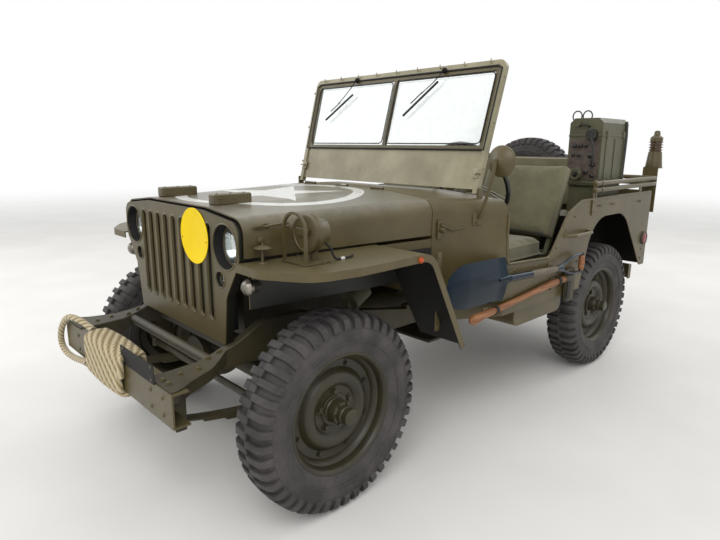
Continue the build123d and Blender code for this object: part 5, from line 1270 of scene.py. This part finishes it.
def make_steering_wheel():
    """The steering wheel: a moulded rim with finger swells, three pairs of spokes and a hub."""
    column = radians(29.5)
    axis = Vector((0.0, cos(column), sin(column)))
    up = Vector((0.0, -sin(column), cos(column)))
    centre = STEERING_CENTRE
    rim = bmesh.new()
    ring = []
    for index in range(144):
        angle = 2 * pi * index / 144
        ring.append(centre + (X * cos(angle) + up * sin(angle)) * (0.2075 + 0.0006 * cos(24 * angle)))
    rod(rim, ring, 0.0115, sides=4, closed=True)
    turned(rim, centre, axis, [(0.010, 0.026), (0.016, 0.025), (0.020, 0.018), (0.021, 0.0)], 32)
    add_piece("steering_rim", rim, "black_phenolic", "steering_wheel", ["steering_wheel"])
    hub = bmesh.new()
    turned(hub, centre, axis, [(-0.030, 0.022), (-0.006, 0.030), (0.004, 0.034), (0.010, 0.034),
                               (0.014, 0.028)], 40)
    for index in range(3):
        middle = radians(90 + 120 * index)
        radial = X * cos(middle) + up * sin(middle)
        across = axis.cross(radial)
        for offset in (-0.007, 0.007):
            rod(hub, [centre + radial * 0.028 + across * offset,
                      centre + radial * 0.110 + across * offset - axis * 0.004,
                      centre + radial * 0.2065 + across * offset * 1.6], 0.0040)
    add_piece("steering_hub", hub, "bare_steel", "steering_wheel")


# Sides


def ribbon(form, points, across, width, thickness):
    """A flat strap that follows points, its width along a direction."""
    single = bmesh.new()
    across = Vector(across).normalized()
    points = [Vector(p) for p in points]
    smooth = [points[0]]
    for before, corner, after in zip(points, points[1:], points[2:]):
        one = corner + (before - corner).normalized() * 0.012
        two = corner + (after - corner).normalized() * 0.012
        smooth += [one, (one + two) / 4 + corner / 2, two]
    smooth.append(points[-1])
    rim = [single.verts.new(p - across * width / 2) for p in smooth]
    edges = [single.edges.new(pair) for pair in zip(rim, rim[1:])]
    grown = bmesh.ops.extrude_edge_only(single, edges=edges)["geom"]
    bmesh.ops.translate(single, verts=[g for g in grown if isinstance(g, bmesh.types.BMVert)],
                        vec=across * width)
    bmesh.ops.solidify(single, geom=single.faces[:], thickness=thickness)
    take(form, single)


def make_tub_fittings():
    """The bead along the body's edge, bolts, footman loops, grab handles and side reflectors."""
    form = bmesh.new()
    edge = [(-0.205, 1.000), (-0.205, 0.920), (-0.193, 0.780), (0.180, 0.760), (0.340, 0.962),
            (0.480, 1.017), (1.400, 1.017)]
    for side in (-1, 1):
        x = side * (BODY_SIDE + 0.0005)
        rod(form, [(x, y, z) for y, z in edge], 0.0062, bend=0.042, sides=3)
        for y, z in ((-0.130, 0.742), (0.060, 0.735), (0.250, 0.800), (0.330, 0.880), (0.420, 0.940),
                     (0.480, 0.700), (1.360, 0.600), (1.360, 0.660), (-0.150, 0.620), (0.230, 0.600)):
            rivet(form, (side * BODY_SIDE, y, z), X * side, 0.0075)
        rod(form, [(side * BODY_SIDE, 0.346, 0.850), (side * (BODY_SIDE + 0.036), 0.372, 0.850),
                   (side * (BODY_SIDE + 0.036), 0.546, 0.850), (side * BODY_SIDE, 0.568, 0.850)], 0.0095,
            0.014)
        for y in (0.334, 0.580):
            plate(form, oblong(y - 0.022, 0.838, y + 0.022, 0.862), (side * BODY_SIDE, 0.0, 0.0), Y, Z,
                  side * 0.004, 0.010, 0.001)
            rivet(form, (side * (BODY_SIDE + 0.004), y, 0.850), X * side, 0.006)
        for y, z in ((0.700, 0.975), (0.860, 0.975), (1.250, 0.965), (1.390, 0.700)):
            rod(form, [(x, y - 0.022, z), (side * (BODY_SIDE + 0.012), y - 0.018, z),
                       (side * (BODY_SIDE + 0.012), y + 0.018, z), (x, y + 0.022, z)], 0.003, 0.006)
        plate(form, oblong(-0.628, 0.560, -0.600, 0.880), (side * 0.690, 0.0, 0.0), Y * side, Z, 0.004,
              0.006, 0.001)
        for z in (0.580, 0.860):
            rivet(form, (side * 0.694, -0.614, z), X * side, 0.006)
    for y, z, high in ((-0.170, 0.718, 0.060), (0.190, 0.711, 0.044), (-0.350, 0.588, 0.050),
                       (0.230, 0.622, 0.060)):
        block(form, (BODY_SIDE + 0.003, y, z), (0.007, 0.040, high), 0.002)
    add_piece("body_edge_beads", form, "drab_enamel", "chassis", ["grab_handles"])
    lens = bmesh.new()
    bezel = bmesh.new()
    for side in (-1, 1):
        place = Vector((side * BODY_SIDE, 1.372, 0.728))
        turned(bezel, place, X * side, [(0.0, 0.041), (0.010, 0.040), (0.013, 0.0375), (0.011, 0.035),
                                        (0.006, 0.035)], 40)
        turned(lens, place, X * side, [(0.009, 0.0352), (0.012, 0.028), (0.0135, 0.012), (0.0138, 0.0)], 40)
    add_piece("side_reflector_bezels", bezel, "chassis_enamel", "chassis")
    add_piece("side_reflectors", lens, "red_glass", "chassis")


def make_tools():
    """The dished shovel with its fork and crosspiece, the axe on its curved helve, and their straps."""
    steel = bmesh.new()
    blade = bmesh.new()
    bmesh.ops.create_grid(blade, x_segments=26, y_segments=16, size=0.5)
    for vert in blade.verts:
        along = vert.co.x + 0.5
        across = vert.co.y * 2.0
        tip = min(1.0, along / 0.38)
        half = 0.0945 * (1 - (1 - tip) ** 2.2) ** 0.5
        fold = max(0.0, (along - 0.90) / 0.10)
        crown = 0.018 * (1 - across ** 2) * min(1.0, along * 3) ** 0.5
        spine = 0.008 * max(0.0, 1 - abs(across) * 4) * max(0.0, (along - 0.45) / 0.55)
        vert.co = Vector((0.7480 + crown + spine + 0.006 * fold, -0.640 + 0.398 * along,
                          0.7380 + across * half - 0.010 * along))
    bmesh.ops.solidify(blade, geom=blade.faces[:], thickness=0.0022)
    take(steel, blade)
    drum(steel, (0.7700, -0.300, 0.7320), Vector((0.0, 1.0, -0.05)), 0.006, 0.075, 0.0, 28, 0.0165)
    turned(steel, (0.7695, -0.226, 0.7283), Vector((0, 1, -0.05)),
           [(0.0, 0.0), (0.0, 0.0165), (0.185, 0.0168), (0.187, 0.0150)], 32)
    for y in (-0.110, -0.060):
        rivet(steel, (0.7865 - 0.001, y, 0.7225), X, 0.0040)
    for edge in (-1, 1):
        rod(steel, [(0.769, 0.215, 0.706 + edge * 0.010), (0.769, 0.262, 0.704 + edge * 0.012),
                    (0.769, 0.345, 0.702 + edge * 0.042), (0.769, 0.420, 0.702 + edge * 0.046),
                    (0.769, 0.476, 0.702 + edge * 0.046)], 0.0072)
        drum(steel, (0.769, 0.462, 0.702 + edge * 0.046), Z * edge, 0.010, 0.006, 0.001, 20)
    turned(steel, (0.7695, 0.190, 0.7065), Y, [(0.0, 0.0162), (0.060, 0.0162), (0.064, 0.012)], 28)
    add_piece("shovel_steel", steel, "blade_enamel_painted_sky", "chassis", ["tool_blades"])
    shaft = bmesh.new()
    drum(shaft, (0.7695, -0.044, 0.7190), Vector((0.0, 1.0, -0.05)), 0.0152, 0.240, 0.0, 32)
    add_piece("shovel_shaft", shaft, "grey_ash", "chassis")
    wood = bmesh.new()
    turned(wood, (0.769, 0.462, 0.662), Z, [(0.0, 0.0110), (0.012, 0.0145), (0.040, 0.0165), (0.068, 0.0145),
                                            (0.080, 0.0110)], 28)
    route = [(-0.472, 0.578), (-0.462, 0.580), (-0.438, 0.583), (-0.395, 0.588), (-0.300, 0.592),
             (-0.120, 0.604), (0.060, 0.620), (0.200, 0.630), (0.330, 0.634)]
    rod(wood, [(0.7500, y, z) for y, z in route], 0.0150, sides=5,
        swell=(0.35, 1.25, 1.45, 1.15, 0.92, 0.92, 1.0, 1.15, 1.2))
    add_piece("ash_handles", wood, "ash_helve", "chassis", ["tool_shafts"])
    head = bmesh.new()
    outline = [(0.322, 0.676), (0.420, 0.682), (0.426, 0.600), (0.428, 0.506), (0.350, 0.508),
               (0.336, 0.590)]
    plate(head, outline, (0.739, 0.0, 0.0), Y, Z, 0.021, 0.006, 0.005, 3)
    turned(head, (0.7495, 0.318, 0.634), Y, [(0.0, 0.0200), (0.010, 0.0225), (0.080, 0.0225),
                                             (0.088, 0.0190)], 28)
    add_piece("axe_head", head, "chassis_enamel", "chassis")
    straps = bmesh.new()
    for y, z, radius in ((-0.285, 0.5925, 0.0160), (0.262, 0.632, 0.0200)):
        turned(straps, (0.750, y, z), Y, [(-0.010, radius), (-0.010, radius + 0.002),
                                          (0.010, radius + 0.002), (0.010, radius)], 28)
    ribbon(straps, [(0.7640, 0.345, 0.668), (0.7665, 0.352, 0.630), (0.7660, 0.352, 0.560),
                    (0.7640, 0.350, 0.528)], Y, 0.030, 0.002)
    add_piece("tool_straps", straps, "black_rubber", "chassis")


def make_mirror():
    """The mirror: a cone-backed head with bolt, rolled rim and glass, on a bent stalk from the cowl."""
    centre = Vector((0.740, -0.293, 1.226))
    form = bmesh.new()
    turned(form, centre, -Y, [(-0.008, 0.0610), (-0.004, 0.0645), (0.002, 0.0645), (0.007, 0.061),
                              (0.018, 0.047), (0.028, 0.026), (0.033, 0.012), (0.0345, 0.010),
                              (0.040, 0.010), (0.0405, 0.0)], 56)
    bolt(form, centre - Y * 0.040, -Y, 0.008)
    foot = Vector((0.6700, -0.334, 0.992))
    rod(form, [foot, foot + Vector((0.018, -0.004, 0.020)), (0.706, -0.340, 1.070), (0.734, -0.340, 1.160),
               (0.740, -0.337, 1.236)], 0.0080, sides=4)
    block(form, (0.6640, -0.334, 0.985), (0.010, 0.046, 0.052), 0.003, Matrix.Rotation(radians(-29), 4, "Z"))
    for dz in (-0.016, 0.016):
        bolt(form, (0.6690, -0.336, 0.985 + dz), Vector((0.87, -0.48, 0)), 0.006)
    add_piece("mirror_back", form, "drab_enamel", "chassis", ["mirror"])
    glass = bmesh.new()
    turned(glass, centre, Y, [(0.0070, 0.0605), (0.0078, 0.0)], 56)
    add_piece("mirror_glass", glass, "silvered_bowl", "chassis")


def make_top_bows():
    """The stowed top bows: two round tubes round the tub's rear, capped, with their slotted brackets."""
    form = bmesh.new()
    for z in (1.098, 1.064):
        half = 0.744
        rod(form, [(half, 0.602, z), (half, 1.465, z), (-half, 1.465, z), (-half, 0.602, z)], 0.0128, 0.100,
            4)
        for side in (-1, 1):
            turned(form, (side * half, 0.604, z), -Y, [(0.0, 0.0145), (0.008, 0.0140), (0.012, 0.008),
                                                       (0.013, 0.0)], 28)
            turned(form, (side * half, 0.690, z), -Y, [(0.0, 0.0130), (0.0, 0.0150), (0.030, 0.0150),
                                                       (0.030, 0.0130)], 28)
    for side in (-1, 1):
        x = side * (BODY_SIDE + 0.0005)
        plate(form, oblong(0.592, 0.930, 0.632, 1.116), (x, 0.0, 0.0), Y, Z, side * 0.006, 0.010, 0.001)
        for z in (0.948, 1.000):
            rivet(form, (side * (BODY_SIDE + 0.0065), 0.612, z), X * side, 0.006)
        plate(form, oblong(1.224, 1.010, 1.260, 1.066), (side * (BODY_SIDE - 0.004), 0.0, 0.0), Y, Z,
              side * 0.005, 0.004, 0.001)
    add_piece("top_bow_tubes", form, "drab_enamel", "chassis", ["top_bows"])
    # Near-black plates on the brackets, where the slots are, as painted shade in the openings
    slots = bmesh.new()
    for side in (-1, 1):
        plate(slots, oblong(0.606, 1.022, 0.618, 1.096), (side * (BODY_SIDE + 0.0062), 0.0, 0.0), Y, Z,
              side * 0.0012, 0.005)
    add_piece("bow_bracket_slot_painted_shade", slots, "black_rubber", "chassis")


# Radio and aerial


def make_radio():
    """The radio: ring handles on its lid, big tuning knob, smaller knobs, a cable, ribs and lid clips."""
    front_y = 0.740
    left_x = 0.693
    case = bmesh.new()
    knobs = bmesh.new()
    for x in (0.535, 0.593):
        rod(knobs, [(x - 0.020, 0.758, 1.430), (x - 0.029, 0.758, 1.448), (x - 0.018, 0.758, 1.472),
                    (x, 0.758, 1.478), (x + 0.018, 0.758, 1.472), (x + 0.029, 0.758, 1.448),
                    (x + 0.020, 0.758, 1.430)], 0.0036)
    rod(knobs, [(0.6960, 1.030, 1.425), (0.7010, 1.034, 1.380), (0.7000, 1.036, 1.240),
                (0.6980, 1.030, 1.105)], 0.0080)
    rod(knobs, [(0.560, 0.7380, 1.395), (0.560, 0.7220, 1.402), (0.590, 0.7160, 1.404),
                (0.620, 0.7220, 1.400), (0.620, 0.7380, 1.392)], 0.0045)
    for y in (0.790, 0.900, 1.020):
        plate(case, oblong(y, 1.110, y + 0.014, 1.330), (left_x - 0.001, 0.0, 0.0), Y, Z, 0.006, 0.005,
              0.0015)
    block(case, (0.600, 0.905, 1.345), (0.192, 0.336, 0.012), 0.003)
    block(case, (0.600, 0.905, 1.092), (0.192, 0.336, 0.014), 0.003)
    for y in (0.800, 1.010):
        block(case, (left_x + 0.003, y, 1.350), (0.010, 0.026, 0.040), 0.003)
    panel = bmesh.new()
    plate(panel, oblong(0.515, 1.105, 0.685, 1.325), (0.0, front_y + 0.001, 0.0), X, Z, 0.004, 0.006, 0.001)
    turned(knobs, (0.640, front_y - 0.002, 1.348), -Y, [(0.0, 0.030), (0.024, 0.029), (0.0275, 0.026),
                                                        (0.0275, 0.0)], 40)
    turned(case, (0.570, front_y - 0.002, 1.138), -Y, [(0.0, 0.034), (0.024, 0.033), (0.0275, 0.029),
                                                       (0.024, 0.026), (0.022, 0.0)], 40)
    turned(knobs, (0.570, front_y - 0.022, 1.138), -Y, [(0.0, 0.016), (0.010, 0.014), (0.012, 0.0)], 28)
    for x, z, radius, reach in ((0.545, 1.290, 0.012, 0.018), (0.580, 1.290, 0.012, 0.018),
                                (0.612, 1.290, 0.009, 0.014), (0.540, 1.240, 0.010, 0.012),
                                (0.575, 1.240, 0.010, 0.012), (0.640, 1.240, 0.016, 0.016),
                                (0.655, 1.190, 0.013, 0.020), (0.620, 1.150, 0.011, 0.014),
                                (0.655, 1.130, 0.011, 0.014)):
        turned(knobs, (x, front_y - 0.002, z), -Y, [(0.0, radius), (reach * 0.8, radius * 0.92),
                                                    (reach, radius * 0.6), (reach, 0.0)], 24)
    for x, z in ((0.522, 1.112), (0.678, 1.112), (0.522, 1.318), (0.678, 1.318)):
        rivet(case, (x, front_y - 0.002, z), -Y, 0.004)
    rod(knobs, [(0.640, front_y - 0.024, 1.348), (0.668, front_y - 0.030, 1.270),
                (0.662, front_y - 0.028, 1.215), (0.655, front_y - 0.018, 1.190)], 0.006)
    add_piece("radio_case_details", case, "radio_crackle", "chassis")
    add_piece("radio_panel", panel, "panel_enamel", "chassis")
    add_piece("radio_knobs", knobs, "black_phenolic", "chassis")


def make_aerial():
    """The aerial's foot: a stepped mast base with four brown ceramic rings, and its bracket's bolts."""
    rings = bmesh.new()
    for z in (1.262, 1.278, 1.294, 1.310):
        turned(rings, (0.690, 1.538, z), Z, [(0.0, 0.030), (0.002, 0.0395), (0.008, 0.0395), (0.010, 0.030)],
               40)
    add_piece("aerial_rings", rings, "brown_ceramic", "chassis")
    bolts = bmesh.new()
    turned(bolts, (0.690, 1.538, 1.160), Z, [(0.0, 0.0480), (0.006, 0.0490), (0.040, 0.0450),
                                             (0.094, 0.0390), (0.101, 0.0320), (0.161, 0.0320),
                                             (0.161, 0.0370), (0.184, 0.0360), (0.194, 0.0250),
                                             (0.197, 0.0190), (0.218, 0.0170), (0.226, 0.0110),
                                             (0.227, 0.0)], 40)
    for dx in (-0.036, 0.036):
        for dy in (-0.028, 0.028):
            bolt(bolts, (0.690 + dx, 1.530 + dy, 1.160), Z, 0.005)
    add_piece("aerial_bolts", bolts, "drab_enamel", "chassis")


# Rear and underside


def make_spare_carrier():
    """The spare wheel's carrier: a plate on the rear panel, a post and a plate with three nuts."""
    form = bmesh.new()
    middle = Vector((SPARE_X, REAR_PANEL, SPARE_HEIGHT))
    plate(form, oblong(SPARE_X - 0.110, 0.820, SPARE_X + 0.110, 1.010), (0.0, REAR_PANEL + 0.010, 0.0), X, Z,
          0.010, 0.020, 0.002)
    drum(form, middle, Y, 0.040, SPARE_REACH, 0.0, 40)
    drum(form, middle + Y * SPARE_REACH, Y, 0.072, 0.010, 0.002, 48)
    for index in range(3):
        arm = Matrix.Rotation(2 * pi * index / 3, 3, Y) @ Z
        bolt(form, middle + Y * 0.128 + arm * 0.052, Y, 0.0125)
    for dx in (-0.088, 0.088):
        for dz in (-0.142, -0.075):
            bolt(form, middle + Vector((dx, 0.010, dz)), Y, 0.0075)
    add_piece("spare_carrier", form, "drab_enamel", "chassis", ["spare_wheel"])


def make_rear_fittings():
    """Rear lamps, the reflectors' bezels and lenses, and the pintle's bolts."""
    form = bmesh.new()
    red = bmesh.new()
    for side in (-1, 1):
        place = Vector((side * 0.625, REAR_PANEL, 0.736))
        turned(form, place, Y, [(0.0, 0.047), (0.006, 0.046), (0.011, 0.042), (0.009, 0.0395),
                                (0.004, 0.0395)], 40)
        turned(red, place, Y, [(0.009, 0.0395), (0.0125, 0.030), (0.0135, 0.012), (0.0138, 0.0)], 40)
        lamp = Vector((side * 0.520, REAR_PANEL, 0.736))
        turned(form, lamp, Y, [(0.0, 0.030), (0.022, 0.032), (0.028, 0.030), (0.028, 0.024), (0.026, 0.0)],
               36)
        for dz in (-0.009, 0.009):
            block(red, lamp + Vector((0, 0.0275, dz)), (0.026, 0.004, 0.010), 0.0015)
    for dx in (-0.050, 0.050):
        for dz in (-0.028, 0.028):
            bolt(form, (dx, REAR_PANEL + 0.006, 0.640 + dz), Y, 0.0075)
    add_piece("rear_fittings", form, "drab_enamel", "chassis")
    add_piece("rear_lamp_glass", red, "red_glass", "chassis", ["reflectors"])


def make_running_gear():
    """U-bolts on the springs, and the bolts round the axle housings' covers."""
    form = bmesh.new()
    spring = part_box("leaf_springs")[0].x + 0.0225
    for axle_y in (FRONT_AXLE, REAR_AXLE):
        for side in (-1, 1):
            x = side * abs(spring)
            for dy in (-0.036, 0.036):
                rod(form, [(x - 0.027, axle_y + dy, 0.330), (x - 0.027, axle_y + dy, 0.408),
                           (x, axle_y + dy, 0.4105), (x + 0.027, axle_y + dy, 0.408),
                           (x + 0.027, axle_y + dy, 0.330)], 0.0050, 0.012)
        pinion = 1 if axle_y < 0 else -1
        for index in range(10):
            angle = 2 * pi * index / 10
            bolt(form, (-0.170 + 0.090 * cos(angle), axle_y - pinion * 0.058, 0.365 + 0.090 * sin(angle)),
                 Y * -pinion, 0.006)
    add_piece("spring_clips", form, "chassis_enamel", "chassis")


# Stage


def make_stage():
    """A pale floor, soft light from the front left, the sky's even light, white behind, and the camera."""
    floor = bmesh.new()
    bmesh.ops.create_grid(floor, x_segments=4, y_segments=4, size=30.0)
    mesh = bpy.data.meshes.new("floor")
    floor.to_mesh(mesh)
    floor.free()
    ground = bpy.data.objects.new("floor", mesh)
    bpy.context.scene.collection.objects.link(ground)
    material = bpy.data.materials.new("pale_floor")
    material.use_nodes = True
    tree = material.node_tree
    shader = tree.nodes["Principled BSDF"]
    place = add_node(tree, "TexCoord").outputs
    grain = add_node(tree, "TexNoise", {"Scale": 1.5, "Detail": 3.0}, {"Vector": place["Object"]})
    tone = add_node(tree, "ValToRGB", None, {"Fac": grain}, stops=[(0.3, "#e9e8e4"), (0.7, "#f1f0ed")])
    tree.links.new(tone.outputs["Color"], shader.inputs["Base Color"])
    shader.inputs["Roughness"].default_value = 0.8
    away = add_node(tree, "VectorMath", None, {0: place["Object"]}, operation="LENGTH")
    fade = add_node(tree, "MapRange", {"From Min": 5.0, "From Max": 16.0}, {"Value": away.outputs["Value"]},
                    interpolation_type="SMOOTHSTEP")
    clear = add_node(tree, "BsdfTransparent")
    both = add_node(tree, "MixShader", None, {0: fade, 1: shader, 2: clear})
    tree.links.new(both.outputs[0], tree.nodes["Material Output"].inputs["Surface"])
    mesh.materials.append(material)
    scene = bpy.context.scene
    for name, place, turn, size, power in (("key", (3.6, -4.2, 5.2), (38, 0, 40), 4.0, 160.0),
                                           ("fill", (-4.5, -3.0, 3.5), (55, 0, -56), 4.0, 78.0),
                                           ("back", (1.0, 5.0, 4.5), (-48, 0, 8), 4.0, 70.0)):
        lamp = bpy.data.lights.new(name, "AREA")
        lamp.size = size
        lamp.energy = power
        item = bpy.data.objects.new(name, lamp)
        item.location = place
        item.rotation_euler = [radians(a) for a in turn]
        scene.collection.objects.link(item)
    world = bpy.data.worlds.new("even_sky")
    scene.world = world
    world.use_nodes = True
    tree = world.node_tree
    back = tree.nodes["Background"]
    back.inputs["Color"].default_value = (1.0, 1.0, 1.0, 1.0)
    path = add_node(tree, "LightPath").outputs
    seen = add_node(tree, "Math", None, {0: path["Is Camera Ray"], 1: path["Is Glossy Ray"]},
                    operation="MAXIMUM")
    through = add_node(tree, "Math", None, {0: seen, 1: path["Is Transmission Ray"]}, operation="MAXIMUM")
    level = add_node(tree, "MapRange", {"To Min": 0.72, "To Max": 1.0}, {"Value": through})
    tree.links.new(level.outputs[0], back.inputs["Strength"])
    lens = bpy.data.cameras.new("camera")
    lens.lens = 27.806
    lens.sensor_width = 36.0
    lens.clip_end = 100.0
    camera = bpy.data.objects.new("camera", lens)
    camera.location = (2.0256, -2.3067, 1.2897)
    camera.rotation_euler = [radians(a) for a in (77.2913, -0.3373, 46.6041)]
    scene.collection.objects.link(camera)
    scene.camera = camera
    scene.view_settings.view_transform = "Standard"


# Settings and operators


class CarPaint(bpy.types.PropertyGroup):
    """The drab enamel's colours and sheen"""
    light: FloatVectorProperty(name="Light tone", description="Lighter colour of the drab enamel",
                               subtype="COLOR", size=4, min=0.0, max=1.0, default=linear("#5c5132"))
    deep: FloatVectorProperty(name="Deep tone", description="Deeper colour of the drab enamel",
                              subtype="COLOR", size=4, min=0.0, max=1.0, default=linear("#4c4327"))
    roughness: FloatProperty(name="Roughness", description="How dull the drab enamel is", subtype="FACTOR",
                             min=0.05, max=1.0, default=0.36)


class CarTyres(bpy.types.PropertyGroup):
    """The tyres' tread"""
    lugs: IntProperty(name="Lugs", description="Bar lugs in each of the tread's two rows", min=12, max=60,
                      default=44)
    lug_width: FloatProperty(name="Lug width", description="Width of one bar lug along the tread",
                             unit="LENGTH", min=0.010, max=0.040, default=0.025)


class CarRope(bpy.types.PropertyGroup):
    """The rope round the front bumper"""
    turns: IntProperty(name="Turns", description="Turns of rope round the bumper", min=4, max=16, default=15)
    diameter: FloatProperty(name="Diameter", description="Thickness of the rope", unit="LENGTH", min=0.012,
                            max=0.026, default=0.0245)


class CAR_OT_finishes(bpy.types.Operator):
    """Mixes every finish and gives the solids theirs"""
    bl_idname = "car.finishes"
    bl_label = "Finishes"

    def execute(self, context):
        make_finishes(context.scene.car_paint)
        dress_solids()
        return {"FINISHED"}


class CAR_OT_wheels(bpy.types.Operator):
    """Fits five tyres on pressed wheels, with hubs on the four that run"""
    bl_idname = "car.wheels"
    bl_label = "Wheels and tyres"

    def execute(self, context):
        tread = context.scene.car_tyres
        for name, centre, outward, body in WHEELS:
            spare = name == "spare"
            make_tyre(name, centre, outward, body, "spare_tyre" if spare else "tyre_" + name, tread.lugs,
                      tread.lug_width)
            make_wheel(name, centre, outward, body, "spare_wheel" if spare else "wheel_" + name)
            if not spare:
                make_hub(name, centre, outward, body)
        return {"FINISHED"}


class CAR_OT_front(bpy.types.Operator):
    """Adds the grille's beads, the lamps, the blank sign disc and the bumper's fittings"""
    bl_idname = "car.front"
    bl_label = "Grille, lamps and bumper"

    def execute(self, context):
        make_grille_beads()
        make_lamps()
        make_sign_disc()
        make_bumper_fittings()
        return {"FINISHED"}


class CAR_OT_rope(bpy.types.Operator):
    """Winds the rope round the bumper and lays its end loop"""
    bl_idname = "car.rope"
    bl_label = "Rope"

    def execute(self, context):
        make_rope(context.scene.car_rope)
        return {"FINISHED"}


class CAR_OT_hood(bpy.types.Operator):
    """Adds the hood's hooks, catches, latches and rest blocks"""
    bl_idname = "car.hood"
    bl_label = "Hood fittings"

    def execute(self, context):
        make_hood_fittings()
        make_hood_blocks()
        return {"FINISHED"}


class CAR_OT_fenders(bpy.types.Operator):
    """Adds the blackout lamp's details and the fenders' small lamps and markers"""
    bl_idname = "car.fenders"
    bl_label = "Fender fittings"

    def execute(self, context):
        make_blackout_lamp()
        make_fender_fittings()
        return {"FINISHED"}


class CAR_OT_windscreen(bpy.types.Operator):
    """Adds the windscreen's seals, hooks, clamps and wipers"""
    bl_idname = "car.windscreen"
    bl_label = "Windscreen fittings"

    def execute(self, context):
        make_windscreen()
        return {"FINISHED"}


class CAR_OT_seats(bpy.types.Operator):
    """Stuffs the seats' cushions and backs and pipes their edges"""
    bl_idname = "car.seats"
    bl_label = "Seats"

    def execute(self, context):
        make_seats()
        return {"FINISHED"}


class CAR_OT_inside(bpy.types.Operator):
    """Adds the dash, the pedals, the levers and the steering wheel"""
    bl_idname = "car.inside"
    bl_label = "Dash and steering wheel"

    def execute(self, context):
        make_dash()
        make_steering_wheel()
        return {"FINISHED"}


class CAR_OT_sides(bpy.types.Operator):
    """Adds the body's edge beads and handles, the tools, the mirror and the top bows"""
    bl_idname = "car.sides"
    bl_label = "Sides, tools, mirror and bows"

    def execute(self, context):
        make_tub_fittings()
        make_tools()
        make_mirror()
        make_top_bows()
        return {"FINISHED"}


class CAR_OT_radio(bpy.types.Operator):
    """Adds the radio's knobs and handles and the aerial's foot"""
    bl_idname = "car.radio"
    bl_label = "Radio and aerial"

    def execute(self, context):
        make_radio()
        make_aerial()
        return {"FINISHED"}


class CAR_OT_rear(bpy.types.Operator):
    """Adds the frame, the spare wheel's carrier, the rear lamps and the running gear's bolts"""
    bl_idname = "car.rear"
    bl_label = "Rear and running gear"

    def execute(self, context):
        make_frame()
        make_spare_carrier()
        make_rear_fittings()
        make_running_gear()
        return {"FINISHED"}


class CAR_OT_stage(bpy.types.Operator):
    """Lays the pale floor and sets the light and the camera"""
    bl_idname = "car.stage"
    bl_label = "Stage"

    def execute(self, context):
        make_stage()
        return {"FINISHED"}


OPERATORS = (CAR_OT_finishes, CAR_OT_wheels, CAR_OT_front, CAR_OT_rope, CAR_OT_hood, CAR_OT_fenders,
             CAR_OT_windscreen, CAR_OT_seats, CAR_OT_inside, CAR_OT_sides, CAR_OT_radio, CAR_OT_rear,
             CAR_OT_stage)


class CAR_PT_pieces(bpy.types.Panel):
    """The car's settings and the operator of each group of pieces"""
    bl_label = "Army 4x4 car"
    bl_idname = "CAR_PT_pieces"
    bl_space_type = "VIEW_3D"
    bl_region_type = "UI"
    bl_category = "Car"

    def draw(self, context):
        scene = context.scene
        for group in (scene.car_paint, scene.car_tyres, scene.car_rope):
            box = self.layout.box()
            for name in group.__annotations__:
                box.prop(group, name)
        for operator in OPERATORS:
            self.layout.operator(operator.bl_idname)


CLASSES = (CarPaint, CarTyres, CarRope, *OPERATORS, CAR_PT_pieces)


def register():
    """Registers the classes and hangs the settings on the scene."""
    for item in CLASSES:
        bpy.utils.register_class(item)
    bpy.types.Scene.car_paint = PointerProperty(type=CarPaint)
    bpy.types.Scene.car_tyres = PointerProperty(type=CarTyres)
    bpy.types.Scene.car_rope = PointerProperty(type=CarRope)


def unregister():
    """Takes the settings and the classes away again."""
    del bpy.types.Scene.car_rope
    del bpy.types.Scene.car_tyres
    del bpy.types.Scene.car_paint
    for item in reversed(CLASSES):
        bpy.utils.unregister_class(item)


def main():
    """Builds every piece in order."""
    register()
    bpy.ops.car.finishes()
    bpy.ops.car.wheels()
    bpy.ops.car.front()
    bpy.ops.car.rope()
    bpy.ops.car.hood()
    bpy.ops.car.fenders()
    bpy.ops.car.windscreen()
    bpy.ops.car.seats()
    bpy.ops.car.inside()
    bpy.ops.car.sides()
    bpy.ops.car.radio()
    bpy.ops.car.rear()
    bpy.ops.car.stage()


if __name__ == "__main__":
    main()
